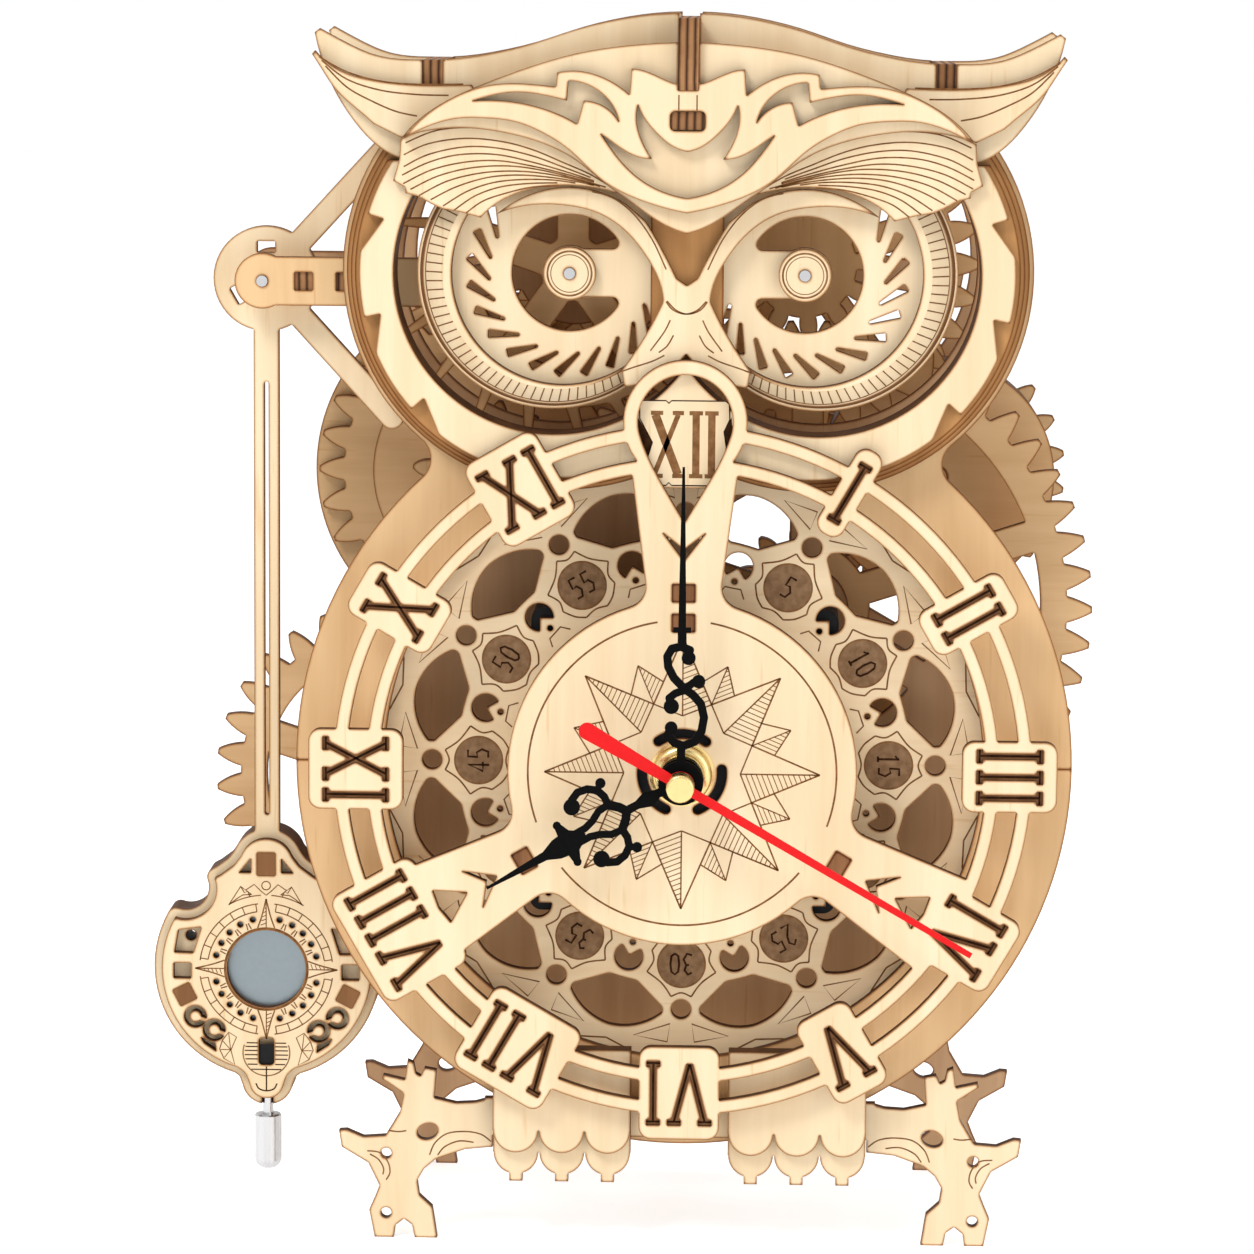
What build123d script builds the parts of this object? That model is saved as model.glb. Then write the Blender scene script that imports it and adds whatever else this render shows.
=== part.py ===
from build123d import *
import os
from math import acos, atan2, cos, degrees, hypot, pi, radians, sin, sqrt, tan

# Wooden gear clock: an owl of laser-cut plywood sheets, with a quartz dial,
# an open gear train, a wind-up spring and a pendulum beside the head.
# Millimetres, +Z up. The sheets stand in the XZ plane and the dial looks along -Y.
# A depth is measured backwards from the front face of the dial sheet.
# Outline tables are shares of a named size: x from the dial axis, z from a named height.

# Sheet stock and general fits
SHEET = 2.0
OVERRUN = 3.0
SEAT_GAP = 0.1
SHAFT_GAP = 0.05
FREE_GAP = 0.35

# Dial
DIAL_HEIGHT = 88.6
DIAL_R = 62.9
DIAL_RING_W = 2.3
DIAL_INNER_R = 57.0
HUB_DISC_R = 31.5
ARM_W_IN = 12.4
ARM_W_OUT = 19.4
ARM_BLEND_R = 4.0
KEYHOLE_R = 11.1
KEYHOLE_HEIGHT = 63.4
KEYHOLE_WALL = 2.6
KEYHOLE_TIP_HEIGHT = 45.3
CARTOUCHE_L = 17.1
CARTOUCHE_R = 58.9
CARTOUCHE_MARGIN = 2.6
CARTOUCHE_CORNER = 2.2
GLYPH_H = 12.0
STROKE_W = 1.15
STROKE_PITCH = 3.8
SERIF_W = 2.5
ENGRAVE_DEPTH = 0.7
LETTER_SPREAD = 5.6
TAB_W = 4.2
TAB_H = 3.3
TAB_INNER_R = 27.3
TAB_OUTER_R = 32.7
HUB_SLOT_R = 7.2
HUB_SLOT_W = 1.8
HUB_SLOT_SPAN = 73.0

# Minute ring behind the dial
RING_R = 58.0
WINDOW_TOP_R = 50.6
WINDOW_ARCH_R = 49.4
WINDOW_ARCH_ANGLE = 6.0
WINDOW_SIDE_R = 46.8
WINDOW_CORNER_R = 45.7
WINDOW_SIDE_ANGLE = 10.7
WINDOW_FOOT_ANGLE = 3.6
BOSS_R = 4.0
PIN_HOLE_R = 1.8
PIN_CIRCLE_R = 45.9
CRESCENT_R = 2.6
CRESCENT_CIRCLE_R = 37.4
HEART_R = 0.55
HEART_CIRCLE_R = 34.6

# Body and head sheets
BODY_R = 70.6
BODY_HOLE_R = 54.5
NECK_BLEND_R = 4.5
EYE_HEIGHT = 89.5
HEAD_RING_X = 22.0
HEAD_RING_R = 36.5
HEAD_STEP = 0.9
HEAD_HOLE_X = 23.7
HEAD_HOLE_R = 28.7
HEAD_CUT_RISE = 19.9
HEAD_CUT_HEIGHT = EYE_HEIGHT + HEAD_CUT_RISE
NECK_WEB = 9.0
NECK_W = 40.0
NOTCH_ANGLE = 163.5
NOTCH_STEP = 29.3
NOTCH_SWEEP = 13.0
NOTCH_DEPTH = 3.0
NOTCH_COUNT = 4
BRIDGE_W = 13.0
ORNAMENT_W = 100.0

# Eyes
EYE_PLATE_X = 24.0
EYE_PLATE_R = 24.4
BEZEL_R = 23.9
BEZEL_FACE_R = 20.6
BEZEL_BORE_X = 22.2
BEZEL_BORE_R = 19.9
BEZEL_T = 3.0
EYE_WINDOW_R = 10.4
EYE_HUB_R = 4.9
EYE_LINK_W = 8.6
EYE_LINK_H = 18.0
LASH_COUNT = 13
LASH_START = 147.0
LASH_STEP = 15.25
LASH_L = 5.6
LASH_W = 1.5
LASH_CIRCLE_R = 16.2
LASH_SLANT = 45.0
BUSH_R = 4.7

# Crown and ribs
RIB_W = 3.6
RIB_RISE = 32.9
RIB_BASE_HEIGHT = EYE_HEIGHT + RIB_RISE
RIB_H = 12.6
SIDE_RIB_X = 45.6
SIDE_RIB_H = 5.0
SIDE_RIB_RISE = 32.7
SIDE_RIB_BASE_HEIGHT = EYE_HEIGHT + SIDE_RIB_RISE
RIB_SLOT_GAP = 0.05

# Feet and talons
STANCE_W = 100.0
TALON_PITCH = 8.4
TALON_W = 8.2
TALON_X = 29.9
TALON_TOP_HEIGHT = -52.0
TALON_FRONT_TIP = -71.3
TALON_BACK_TIP = -75.8
TALON_COUNT = 3
NIB_W = 2.4
NIB_H = 1.3
FOOT_HOLE_R = 1.0
FOOT_EYE_R = 2.0

# Frame depths, each the front face of its sheet
DEPTH_ORNAMENT = -2 * SHEET
DEPTH_FOREHEAD = -SHEET
DEPTH_DIAL = 0.0
DEPTH_NOSE = SHEET
DEPTH_CROWN = 2 * SHEET
DEPTH_EYE = 3 * SHEET
DEPTH_FEET = 4 * SHEET
DEPTH_BODY = 5 * SHEET
DEPTH_RING = 6 * SHEET
DEPTH_MID = 30.0
DEPTH_BACK = 63.0
DEPTH_CROWN_BACK = DEPTH_MID + SHEET

# Gear train
MODULE = 2.05
PRESSURE_ANGLE = 25.0
BACKLASH = 0.3
ROOT_FACTOR = 1.25
GREAT_TEETH = 50
EYE_WHEEL_TEETH = 30
EYE_PINION_TEETH = 12
ESCAPE_PINION_TEETH = 11
SIDE_TEETH = 30
SIDE_PINION_TEETH = 12
GREAT_PINION_TEETH = 11
BARREL_TEETH = 22
GREAT_X = 22.0
SIDE_UPPER_X = -37.0
SIDE_LOWER_X = -56.6
BARREL_X = 46.4
AXLE_R = 1.0
PINION_T = 3.0
WHEEL_BORE_GAP = 0.04
DEPTH_GREAT = 35.0
DEPTH_GREAT_MESH = 34.5
DEPTH_GREAT_PINION = 57.35
ARBOR_STAND = 0.5
FLANGE_STAND = 0.5
DEPTH_EYE_WHEEL = 42.0
DEPTH_SIDE = 47.0
DEPTH_BARREL = 57.0
ESCAPE_TEETH = 20
ESCAPE_R = 33.4
ESCAPE_BLADE_L = 8.0
ESCAPE_BLADE_W = 2.6
ESCAPE_LEAN = 16.0
RIM_W = 5.0
SPOKE_W = 6.0
HUB_R = 6.0
SIDE_FACE_R = 22.5
SIDE_FLANGE_R = 33.6
CASE_R = 22.0
CASE_DEPTH = 46.0
CASE_WALL = 1.5
SPRING_TURNS = 6
SPRING_T = 0.6
SPRING_PITCH = 2.1
SPRING_START_R = 6.0
KEY_STEM_R = 2.0
KEY_DEPTH = 68.0
KEY_T = 3.0
KEY_W = 26.0
KEY_H = 13.0
KEY_HOLE_R = 3.2

# Pendulum
PIVOT_X = -76.9
PIVOT_DROP = 2.4
PIVOT_HEIGHT = EYE_HEIGHT - PIVOT_DROP
BRACKET_R = 5.0
BRACKET_H = 8.8
BRACKET_REACH = 30.0
HEAD_DISC_R = 9.6
ROD_W = 4.6
ROD_SLOT_W = 0.8
ARM_W = 4.4
ARM_REACH = 34.0
ARM_SPREAD = 47.5
BOB_DROP = 127.6
BOB_R = 19.4
BOB_BACK_R = 21.0
BOB_BORE_R = 7.3
BOB_DISC_R = 11.8
BOB_CORE_T = 6.0
BOB_TIP_DROP = 25.2
BOB_DOT_COUNT = 20
BOB_DOT_STEP = 15.0
BOB_BLEND_R = 2.5
BOB_NOTCH_R = 5.9
BOB_TAB_W = 3.4
BOB_TAB_H = 4.3
BOB_TAB_LEAN = 27.0
BOB_CURL_R = 2.1
BOB_HOLE_R = 1.0
BOB_SLOT_W = 2.9
BOB_SLOT_H = 5.2
RATING_GRIP_L = 6.0
BOB_DOT_R = 0.55
BOB_DOT_CIRCLE_R = 9.6
DEPTH_PENDULUM = 19.0
RATING_ROD_R = 1.0
RATING_ROD_L = 16.0
WEIGHT_R = 2.5
WEIGHT_L = 10.4
WEIGHT_DROP = 27.9

# Quartz movement and hands
MOVEMENT_W = 56.0
MOVEMENT_T = 15.7
MOVEMENT_WALL = 1.2
BATTERY_R = 7.0
BATTERY_L = 50.0
BATTERY_DROP = 19.0
STEM_R = 3.95
STEM_REACH = 5.0
NUT_W = 10.8
NUT_T = 2.2
NUT_EDGE_R = 1.2
WASHER_R = 5.9
WASHER_T = 0.5
HOUR_TUBE_R = 2.5
MINUTE_TUBE_R = 1.75
SECOND_PIN_R = 0.6
RUN_GAP = 0.08
HAND_T = 0.5
HOUR_DEPTH = -8.2
MINUTE_DEPTH = -10.8
SECOND_DEPTH = -13.6
HAND_FRONT = -17.5
CAP_R = 2.5
HOUR_L = 40.0
MINUTE_L = 56.5
SECOND_L = 60.0
SECOND_TAIL_L = 19.2
SECOND_W = 1.7
SECOND_TIP_W = 1.0
SECOND_TAIL_W = 3.0
HAND_HUB_R = 4.0
HOUR_ANGLE = 240.0
MINUTE_ANGLE = 0.0
SECOND_ANGLE = 120.0
KNOB_R = 5.0
KNOB_T = 2.6
KNOB_SHAFT_L = 4.0
KNOB_FLUTES = 12
STEM_SEAT_L = 6.0
BATTERY_TIP_L = 1.5
BATTERY_TIP_R = 2.8
KNOB_X = -13.0
KNOB_HEIGHT = -7.0

# Frame pillars: turn from +X about the dial axis, on one circle
PILLAR_CIRCLE_R = 62.6
PILLAR_W = 4.0
PILLAR_H = 8.0
FRONT_PILLAR_TURNS = (20.0, 126.0, 160.0, 240.0, 300.0, 330.0)
BACK_PILLAR_TURNS = (235.0, 270.0, 305.0, 338.0)
CROWN_PILLAR_X = 29.0
CROWN_PILLAR_RISE = 31.0
CROWN_PILLAR_HEIGHT = EYE_HEIGHT + CROWN_PILLAR_RISE
MID_R = 64.0
MID_HUB_R = 11.0
MID_SPOKES = 3
WHEEL_SPOKES = 5
MID_WINDOW_R = 22.0
MID_WINDOW_X = -12.0
MID_WINDOW_HEIGHT = -12.0
BACK_R = 66.0
BACK_HEAD_R = 36.0
BACK_WINDOW_R = 22.0
BACK_WINDOW_X = -6.0
BACK_WINDOW_HEIGHT = -30.0
FRAME_EYE_R = 29.0
FRAME_WEB_W = 12.0
LEFT_SPOKE_TURNS = (70.0, 190.0, 310.0)
FRAME_GREAT_R = 24.0
FRAME_HUB_R = 8.0

# Origin: the middle of the whole outline, on the floor
LEFT_REACH = PIVOT_X - BOB_BACK_R
GREAT_R = MODULE * GREAT_TEETH / 2
RIGHT_REACH = GREAT_X + GREAT_R + MODULE
BACK_REACH = KEY_DEPTH + KEY_H
AXIS_X = -(LEFT_REACH + RIGHT_REACH) / 2
FACE_Y = -(HAND_FRONT + BACK_REACH) / 2


def face(depth):
    """The plane of a sheet's front face; local x is +X and local y is +Z."""
    place = (AXIS_X, FACE_Y + depth, DIAL_HEIGHT)
    return Plane(origin=place, x_dir=(1, 0, 0), z_dir=(0, -1, 0))


def at(radius, turn):
    """A point on a circle about the local origin; turn in degrees from +X."""
    return (radius * cos(radians(turn)), radius * sin(radians(turn)))


def draw(runs, size, rise=0.0, flip=1):
    """Draw runs of shares inside a BuildLine: 2 points a line, 3 an arc, more a curve."""
    for run in runs:
        points = [(flip * x * size, rise + z * size) for x, z in run]
        if len(points) == 2:
            Line(*points)
        elif len(points) == 3:
            ThreePointArc(*points)
        else:
            Spline(*points)


def filled(runs, size, rise=0.0, flip=1):
    """A closed outline as a sketch of its own."""
    with BuildSketch() as made:
        with BuildLine():
            draw(runs, size, rise, flip)
        make_face()
    return made.sketch


def filled_pair(runs, size, rise=0.0):
    """A half outline that starts and ends on the axis, closed with its mirror image."""
    with BuildSketch() as made:
        with BuildLine():
            draw(runs, size, rise)
            draw(runs, size, rise, flip=-1)
        make_face()
    return made.sketch


def gear_outline(teeth, phase=0.0):
    """Involute wheel with a tooth centred on the phase angle (degrees)."""
    pitch_r = MODULE * teeth / 2
    tip_r = pitch_r + MODULE
    root_r = pitch_r - ROOT_FACTOR * MODULE
    base_r = pitch_r * cos(radians(PRESSURE_ANGLE))
    pressure = radians(PRESSURE_ANGLE)
    half_tooth = pi / (2 * teeth) - BACKLASH / (4 * pitch_r)

    def half_angle(radius):
        slope = acos(min(1.0, base_r / radius)) if radius > base_r else 0.0
        return half_tooth + tan(pressure) - pressure - tan(slope) + slope

    def flank(side, centre):
        middle_r = (root_r + tip_r) / 2
        return [
            at(radius, degrees(centre + side * half_angle(radius)))
            for radius in (root_r, middle_r, tip_r)
        ]

    step = 2 * pi / teeth
    with BuildSketch() as made:
        with BuildLine():
            for index in range(teeth):
                centre = radians(phase) + index * step
                rising = flank(-1, centre)
                falling = flank(1, centre)
                following = flank(-1, centre + step)
                ThreePointArc(*rising)
                ThreePointArc(rising[2], at(tip_r, degrees(centre)), falling[2])
                ThreePointArc(*falling[::-1])
                ThreePointArc(falling[0], at(root_r, degrees(centre + step / 2)), following[0])
        make_face()
    return made.sketch


def mesh_phase(teeth_a, phase_a, teeth_b, direction):
    """Phase of wheel B so that it meshes with wheel A, which sees B in that direction."""
    return direction + 180 - 180 / teeth_b + (direction - phase_a) * teeth_a / teeth_b


def direction(start, end):
    """Turn from one arbor to another, degrees."""
    return degrees(atan2(end[1] - start[1], end[0] - start[0]))


def centre_distance(teeth_a, teeth_b):
    """Distance between the arbors of two meshing wheels."""
    return MODULE * (teeth_a + teeth_b) / 2


# Arbor places, x and z from the dial centre, each from the gears that meet there
EYE_X = centre_distance(EYE_WHEEL_TEETH, ESCAPE_PINION_TEETH) / 2
LEFT_EYE = (-EYE_X, EYE_HEIGHT)
RIGHT_EYE = (EYE_X, EYE_HEIGHT)
GREAT_DROP = sqrt(centre_distance(GREAT_TEETH, EYE_PINION_TEETH) ** 2 - (GREAT_X - EYE_X) ** 2)
GREAT = (GREAT_X, EYE_HEIGHT - GREAT_DROP)
SIDE_RISE = sqrt(centre_distance(GREAT_TEETH, SIDE_PINION_TEETH) ** 2 - (GREAT_X - SIDE_UPPER_X) ** 2)
SIDE_UPPER = (SIDE_UPPER_X, GREAT[1] + SIDE_RISE)
SIDE_DROP = sqrt(centre_distance(SIDE_TEETH, SIDE_TEETH) ** 2 - (SIDE_UPPER_X - SIDE_LOWER_X) ** 2)
SIDE_LOWER = (SIDE_LOWER_X, SIDE_UPPER[1] - SIDE_DROP)
BARREL_RISE = sqrt(centre_distance(BARREL_TEETH, GREAT_PINION_TEETH) ** 2 - (BARREL_X - GREAT_X) ** 2)
BARREL = (BARREL_X, GREAT[1] + BARREL_RISE)
PIVOT = (PIVOT_X, PIVOT_HEIGHT)
BOB = (PIVOT_X, PIVOT_HEIGHT - BOB_DROP)

# Tooth phases, degrees
GREAT_PHASE = 0.0
EYE_PINION_PHASE = mesh_phase(GREAT_TEETH, GREAT_PHASE, EYE_PINION_TEETH, direction(GREAT, RIGHT_EYE))
SIDE_PINION_PHASE = mesh_phase(
    GREAT_TEETH, GREAT_PHASE, SIDE_PINION_TEETH, direction(GREAT, SIDE_UPPER)
)
EYE_WHEEL_PHASE = 0.0
ESCAPE_PINION_PHASE = mesh_phase(
    EYE_WHEEL_TEETH, EYE_WHEEL_PHASE, ESCAPE_PINION_TEETH, direction(RIGHT_EYE, LEFT_EYE)
)
SIDE_PHASE = 0.0
SIDE_LOWER_PHASE = mesh_phase(SIDE_TEETH, SIDE_PHASE, SIDE_TEETH, direction(SIDE_UPPER, SIDE_LOWER))
GREAT_PINION_PHASE = 0.0
BARREL_PHASE = mesh_phase(
    GREAT_PINION_TEETH, GREAT_PINION_PHASE, BARREL_TEETH, direction(GREAT, BARREL)
)

# Half outlines of the head sheets: shares of ORNAMENT_W, z above the eye line
ORNAMENT_HALF_SHARES = [
    [(0.0, 0.358), (-0.012, 0.352), (-0.022, 0.340)],
    [(-0.022, 0.340), (-0.043, 0.348), (-0.070, 0.360), (-0.100, 0.366)],
    [(-0.100, 0.366), (-0.103, 0.320)],
    [(-0.103, 0.320), (-0.137, 0.344), (-0.184, 0.360), (-0.231, 0.358)],
    [(-0.231, 0.358), (-0.233, 0.333)],
    [(-0.233, 0.333), (-0.288, 0.338), (-0.350, 0.335), (-0.413, 0.313), (-0.474, 0.271), (-0.501, 0.240)],
    [(-0.501, 0.240), (-0.457, 0.262), (-0.406, 0.276), (-0.356, 0.277), (-0.305, 0.271),
     (-0.254, 0.251), (-0.210, 0.223), (-0.152, 0.171), (-0.068, 0.130), (0.0, 0.113)],
]
ORNAMENT_CRESCENT_SHARES = [
    [(-0.381, 0.307), (-0.346, 0.317), (-0.305, 0.323), (-0.265, 0.320), (-0.214, 0.309)],
    [(-0.214, 0.309), (-0.211, 0.344)],
    [(-0.211, 0.344), (-0.177, 0.337), (-0.143, 0.314), (-0.121, 0.272)],
    [(-0.121, 0.272), (-0.140, 0.294), (-0.160, 0.305), (-0.184, 0.309)],
    [(-0.184, 0.309), (-0.195, 0.268)],
    [(-0.195, 0.268), (-0.224, 0.283), (-0.271, 0.299), (-0.319, 0.307), (-0.381, 0.307)],
]
ORNAMENT_CHIN_SHARES = [
    [(0.0, 0.221), (-0.028, 0.231), (-0.055, 0.253), (-0.076, 0.278), (-0.088, 0.304)],
    [(-0.088, 0.304), (-0.091, 0.281), (-0.084, 0.247), (-0.063, 0.208)],
    [(-0.063, 0.208), (-0.102, 0.217), (-0.129, 0.234), (-0.154, 0.252)],
    [(-0.154, 0.252), (-0.129, 0.217), (-0.102, 0.187), (-0.068, 0.162), (-0.034, 0.147), (0.0, 0.139)],
]
ORNAMENT_SLOT_W_SHARE = 0.062
ORNAMENT_SLOT_H_SHARE = 0.035
ORNAMENT_SLOT_Z_SHARE = 0.275
FOREHEAD_HALF_SHARES = [
    [(0.0, 0.413), (-0.100, 0.407), (-0.200, 0.391), (-0.307, 0.358), (-0.383, 0.328),
     (-0.469, 0.279), (-0.505, 0.242)],
    [(-0.505, 0.242), (-0.457, 0.254), (-0.406, 0.259), (-0.356, 0.256), (-0.305, 0.247),
     (-0.254, 0.232), (-0.203, 0.207), (-0.169, 0.182), (-0.135, 0.155)],
    [(-0.135, 0.155), (-0.078, 0.115), (-0.040, 0.091), (0.0, 0.076)],
]
BROW_SHARES = [
    [(-0.510, 0.237), (-0.512, 0.202)],
    [(-0.512, 0.202), (-0.523, 0.164)],
    [(-0.523, 0.164), (-0.501, 0.152)],
    [(-0.501, 0.152), (-0.501, 0.142)],
    [(-0.501, 0.142), (-0.479, 0.137)],
    [(-0.479, 0.137), (-0.454, 0.123)],
    [(-0.454, 0.123), (-0.435, 0.115)],
    [(-0.435, 0.115), (-0.405, 0.110)],
    [(-0.405, 0.110), (-0.367, 0.100)],
    [(-0.367, 0.100), (-0.340, 0.124), (-0.307, 0.142), (-0.264, 0.155), (-0.215, 0.159),
     (-0.172, 0.156), (-0.123, 0.145)],
    [(-0.123, 0.145), (-0.170, 0.215), (-0.260, 0.262), (-0.380, 0.276), (-0.510, 0.237)],
]
EAR_SHARES = [
    [(-0.669, 0.386), (-0.664, 0.392)],
    [(-0.664, 0.392), (-0.619, 0.357), (-0.554, 0.339), (-0.472, 0.332), (-0.386, 0.334)],
    [(-0.386, 0.334), (-0.360, 0.290)],
    [(-0.360, 0.290), (-0.510, 0.239)],
    [(-0.510, 0.239), (-0.559, 0.263)],
    [(-0.559, 0.263), (-0.581, 0.282), (-0.630, 0.327), (-0.647, 0.352), (-0.669, 0.386)],
]
CROWN_HALF_SHARES = [
    [(0.0, 0.463), (-0.094, 0.457), (-0.148, 0.447), (-0.202, 0.433), (-0.284, 0.406),
     (-0.354, 0.389), (-0.420, 0.379), (-0.474, 0.377), (-0.556, 0.384), (-0.610, 0.406), (-0.657, 0.431)],
    [(-0.657, 0.431), (-0.666, 0.424)],
    [(-0.666, 0.424), (-0.659, 0.394), (-0.632, 0.324), (-0.594, 0.265), (-0.565, 0.233), (-0.517, 0.203)],
    [(-0.517, 0.203), (0.0, 0.203)],
]
NOSE_HALF_SHARES = [
    [(0.0, -0.019), (-0.019, -0.006)],
    [(-0.019, -0.006), (-0.045, 0.045), (-0.074, 0.094)],
    [(-0.074, 0.094), (-0.110, 0.125)],
    [(-0.110, 0.125), (-0.145, 0.142), (-0.216, 0.154), (-0.287, 0.138), (-0.341, 0.105)],
    [(-0.341, 0.105), (-0.280, 0.122), (-0.216, 0.122), (-0.160, 0.109), (-0.110, 0.077),
     (-0.072, 0.031), (-0.049, -0.013), (-0.042, -0.047)],
    [(-0.042, -0.047), (-0.062, -0.088), (-0.088, -0.132), (-0.115, -0.171)],
    [(-0.115, -0.171), (-0.110, -0.200)],
    [(-0.110, -0.200), (-0.055, -0.185), (0.0, -0.140)],
]

# Bob outlines and cuts: shares of BOB_R about the bob's centre
BOB_NECK_SHARES = [
    [(0.0, 1.256), (-0.15, 1.21), (-0.24, 1.09)],
    [(-0.24, 1.09), (-0.31, 0.995)],
    [(-0.31, 0.995), (-0.60, 0.78)],
    [(-0.60, 0.78), (0.0, 0.6)],
]
BOB_TIP_SHARES = [
    [(0.0, -1.256), (-0.11, -1.22), (-0.16, -1.13)],
    [(-0.16, -1.13), (-0.20, -1.02)],
    [(-0.20, -1.02), (-0.35, -0.90)],
    [(-0.35, -0.90), (0.0, -0.80)],
]
BOB_NOTCH_SHARE = (-0.78, 0.77)
BOB_TAB_TOP_SHARE = 1.016
BOB_SIDE_TAB_SHARE = (0.78, -0.255)
BOB_HORN_SHARES = [(0.145, 1.07), (0.145, 0.93), (0.26, 0.93)]
BOB_UPPER_WINDOW_SHARES = [(0.84, 0.37), (0.62, 0.40), (0.70, 0.145), (0.88, 0.15)]
BOB_LOWER_WINDOW_SHARES = [(0.887, 0.05), (0.72, 0.05), (0.72, -0.10), (0.887, -0.10)]
BOB_LEAF_SHARES = [(0.48, -0.81), (0.49, -0.73), (0.63, -0.67), (0.60, -0.73)]
BOB_CURL_SHARES = [(0.68, -0.47), (0.50, -0.60)]
BOB_CURL_TURNS = (200.0, 200.0)
BOB_HOLE_SHARE = (-0.73, 0.30)
BOB_SLOT_SHARE = -0.80

# Hand outlines: shares of the hand's length, the hand pointing along +Z.
# A run is a stroke's width and its points; a dot is a place and its radius.
HOUR_STEM_SHARES = [
    (-0.020, 0.0), (-0.020, 0.120), (-0.037, 0.170), (-0.018, 0.225), (-0.020, 0.285),
    (0.020, 0.285), (0.018, 0.225), (0.037, 0.170), (0.020, 0.120), (0.020, 0.0),
]
HOUR_BLADE_SHARES = [
    (0.0, 0.490), (-0.028, 0.515), (-0.050, 0.550), (-0.095, 0.570), (-0.088, 0.600),
    (-0.050, 0.605), (-0.045, 0.640), (-0.020, 0.700), (-0.005, 1.0),
    (0.005, 1.0), (0.020, 0.700), (0.045, 0.640), (0.050, 0.605),
    (0.088, 0.600), (0.095, 0.570), (0.050, 0.550), (0.028, 0.515),
]
HOUR_RUN_SHARES = [
    (0.040, [(0.0, 0.280), (0.030, 0.300), (0.064, 0.338)]),
    (0.034, [(0.064, 0.338), (0.105, 0.335), (0.145, 0.348), (0.172, 0.385), (0.180, 0.430),
             (0.162, 0.470)]),
    (0.032, [(0.064, 0.345), (0.060, 0.390), (0.035, 0.435), (0.022, 0.480), (0.022, 0.530)]),
    (0.030, [(0.145, 0.348), (0.166, 0.322)]),
]
HOUR_DOT_SHARES = [(0.135, 0.485, 0.037), (0.166, 0.320, 0.023), (0.094, 0.585, 0.018)]
MINUTE_STEM_SHARES = [(-0.013, 0.0), (-0.013, 0.125), (0.013, 0.125), (0.013, 0.0)]
MINUTE_BLADE_SHARES = [
    (-0.014, 0.430), (-0.014, 0.478), (-0.028, 0.478), (-0.028, 0.495), (-0.012, 0.495),
    (-0.011, 0.600), (-0.004, 1.0), (0.004, 1.0), (0.011, 0.600), (0.012, 0.495),
    (0.028, 0.495), (0.028, 0.478), (0.014, 0.478), (0.014, 0.430),
]
MINUTE_RUN_SHARES = [
    (0.026, [(-0.032, 0.174), (-0.043, 0.153), (-0.021, 0.128), (0.007, 0.119), (0.043, 0.133),
             (0.064, 0.167), (0.071, 0.210), (0.061, 0.253), (0.036, 0.281), (0.007, 0.302),
             (-0.025, 0.335), (-0.043, 0.370), (-0.046, 0.402), (-0.032, 0.427), (-0.004, 0.434),
             (0.025, 0.423)]),
    (0.024, [(-0.032, 0.244), (-0.039, 0.270), (-0.021, 0.285), (0.007, 0.296), (0.036, 0.320),
             (0.053, 0.324)]),
]
MINUTE_DOT_SHARES = [
    (0.021, 0.398, 0.022), (-0.032, 0.176, 0.020), (-0.032, 0.244, 0.024), (0.053, 0.324, 0.021),
]

# Foot outline: shares of STANCE_W from the dial centre, left foot, drawn round anticlockwise
FOOT_SHARES = [
    (-0.343, -0.713), (-0.393, -0.718), (-0.447, -0.737), (-0.469, -0.756), (-0.482, -0.779),
    (-0.478, -0.806), (-0.454, -0.828), (-0.445, -0.886), (-0.486, -0.886), (-0.491, -0.862),
    (-0.506, -0.851), (-0.522, -0.864), (-0.525, -0.886), (-0.560, -0.886), (-0.570, -0.835),
    (-0.560, -0.812), (-0.551, -0.789), (-0.572, -0.746), (-0.621, -0.717), (-0.626, -0.686),
    (-0.612, -0.685), (-0.581, -0.698), (-0.540, -0.695), (-0.514, -0.651), (-0.507, -0.615),
    (-0.547, -0.588), (-0.545, -0.581), (-0.505, -0.590), (-0.500, -0.553), (-0.489, -0.558),
    (-0.485, -0.578), (-0.476, -0.583), (-0.469, -0.567), (-0.447, -0.571), (-0.451, -0.623),
    (-0.411, -0.632), (-0.376, -0.630), (-0.343, -0.621),
]
BEAM_LOW_SHARE = -0.690
FOOT_HOLE_SHARES = [(-0.539, -0.728), (-0.539, -0.840)]
FOOT_EYE_SHARE = (-0.463, -0.686)


def bar(width, height):
    """A rectangle kept out of the block that asks for it."""
    return Rectangle(width, height, mode=Mode.PRIVATE)


def disc(radius):
    """A disc kept out of the block that asks for it."""
    return Circle(radius, mode=Mode.PRIVATE)


def plate(points):
    """A straight-sided outline kept out of the block that asks for it."""
    return Polygon(*points, align=None, mode=Mode.PRIVATE)


def mirrored(shape):
    """The same sketch on the other side of the dial axis."""
    return mirror(shape, about=Plane.YZ, mode=Mode.PRIVATE)


def spoke_gaps(outer_r, hub_r, count):
    """Windows between a hub and a rim, about the local origin."""
    gaps = disc(outer_r) - disc(hub_r)
    for index in range(count):
        spoke = Pos(outer_r / 2, 0) * bar(outer_r + OVERRUN, SPOKE_W)
        gaps -= Rot(0, 0, 90 + index * 360 / count) * spoke
    return gaps


NUMERALS = ("", "I", "II", "III", "IV", "V", "VI", "VII", "VIII", "IX", "X", "XI")
HOUR_STEP = 30.0
TOP_TURN = 90.0
ARM_TURNS = (90.0, 210.0, 330.0)


def letter_places(text):
    """Centres of the letters across a numeral, and the numeral's whole width."""
    places = []
    reach = 0.0
    for index, letter in enumerate(text):
        width = 0.0 if letter == "I" else LETTER_SPREAD
        if index:
            reach += STROKE_PITCH
        places.append((letter, reach + width / 2, width))
        reach += width
    return [(letter, x - reach / 2, width) for letter, x, width in places], reach


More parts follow.
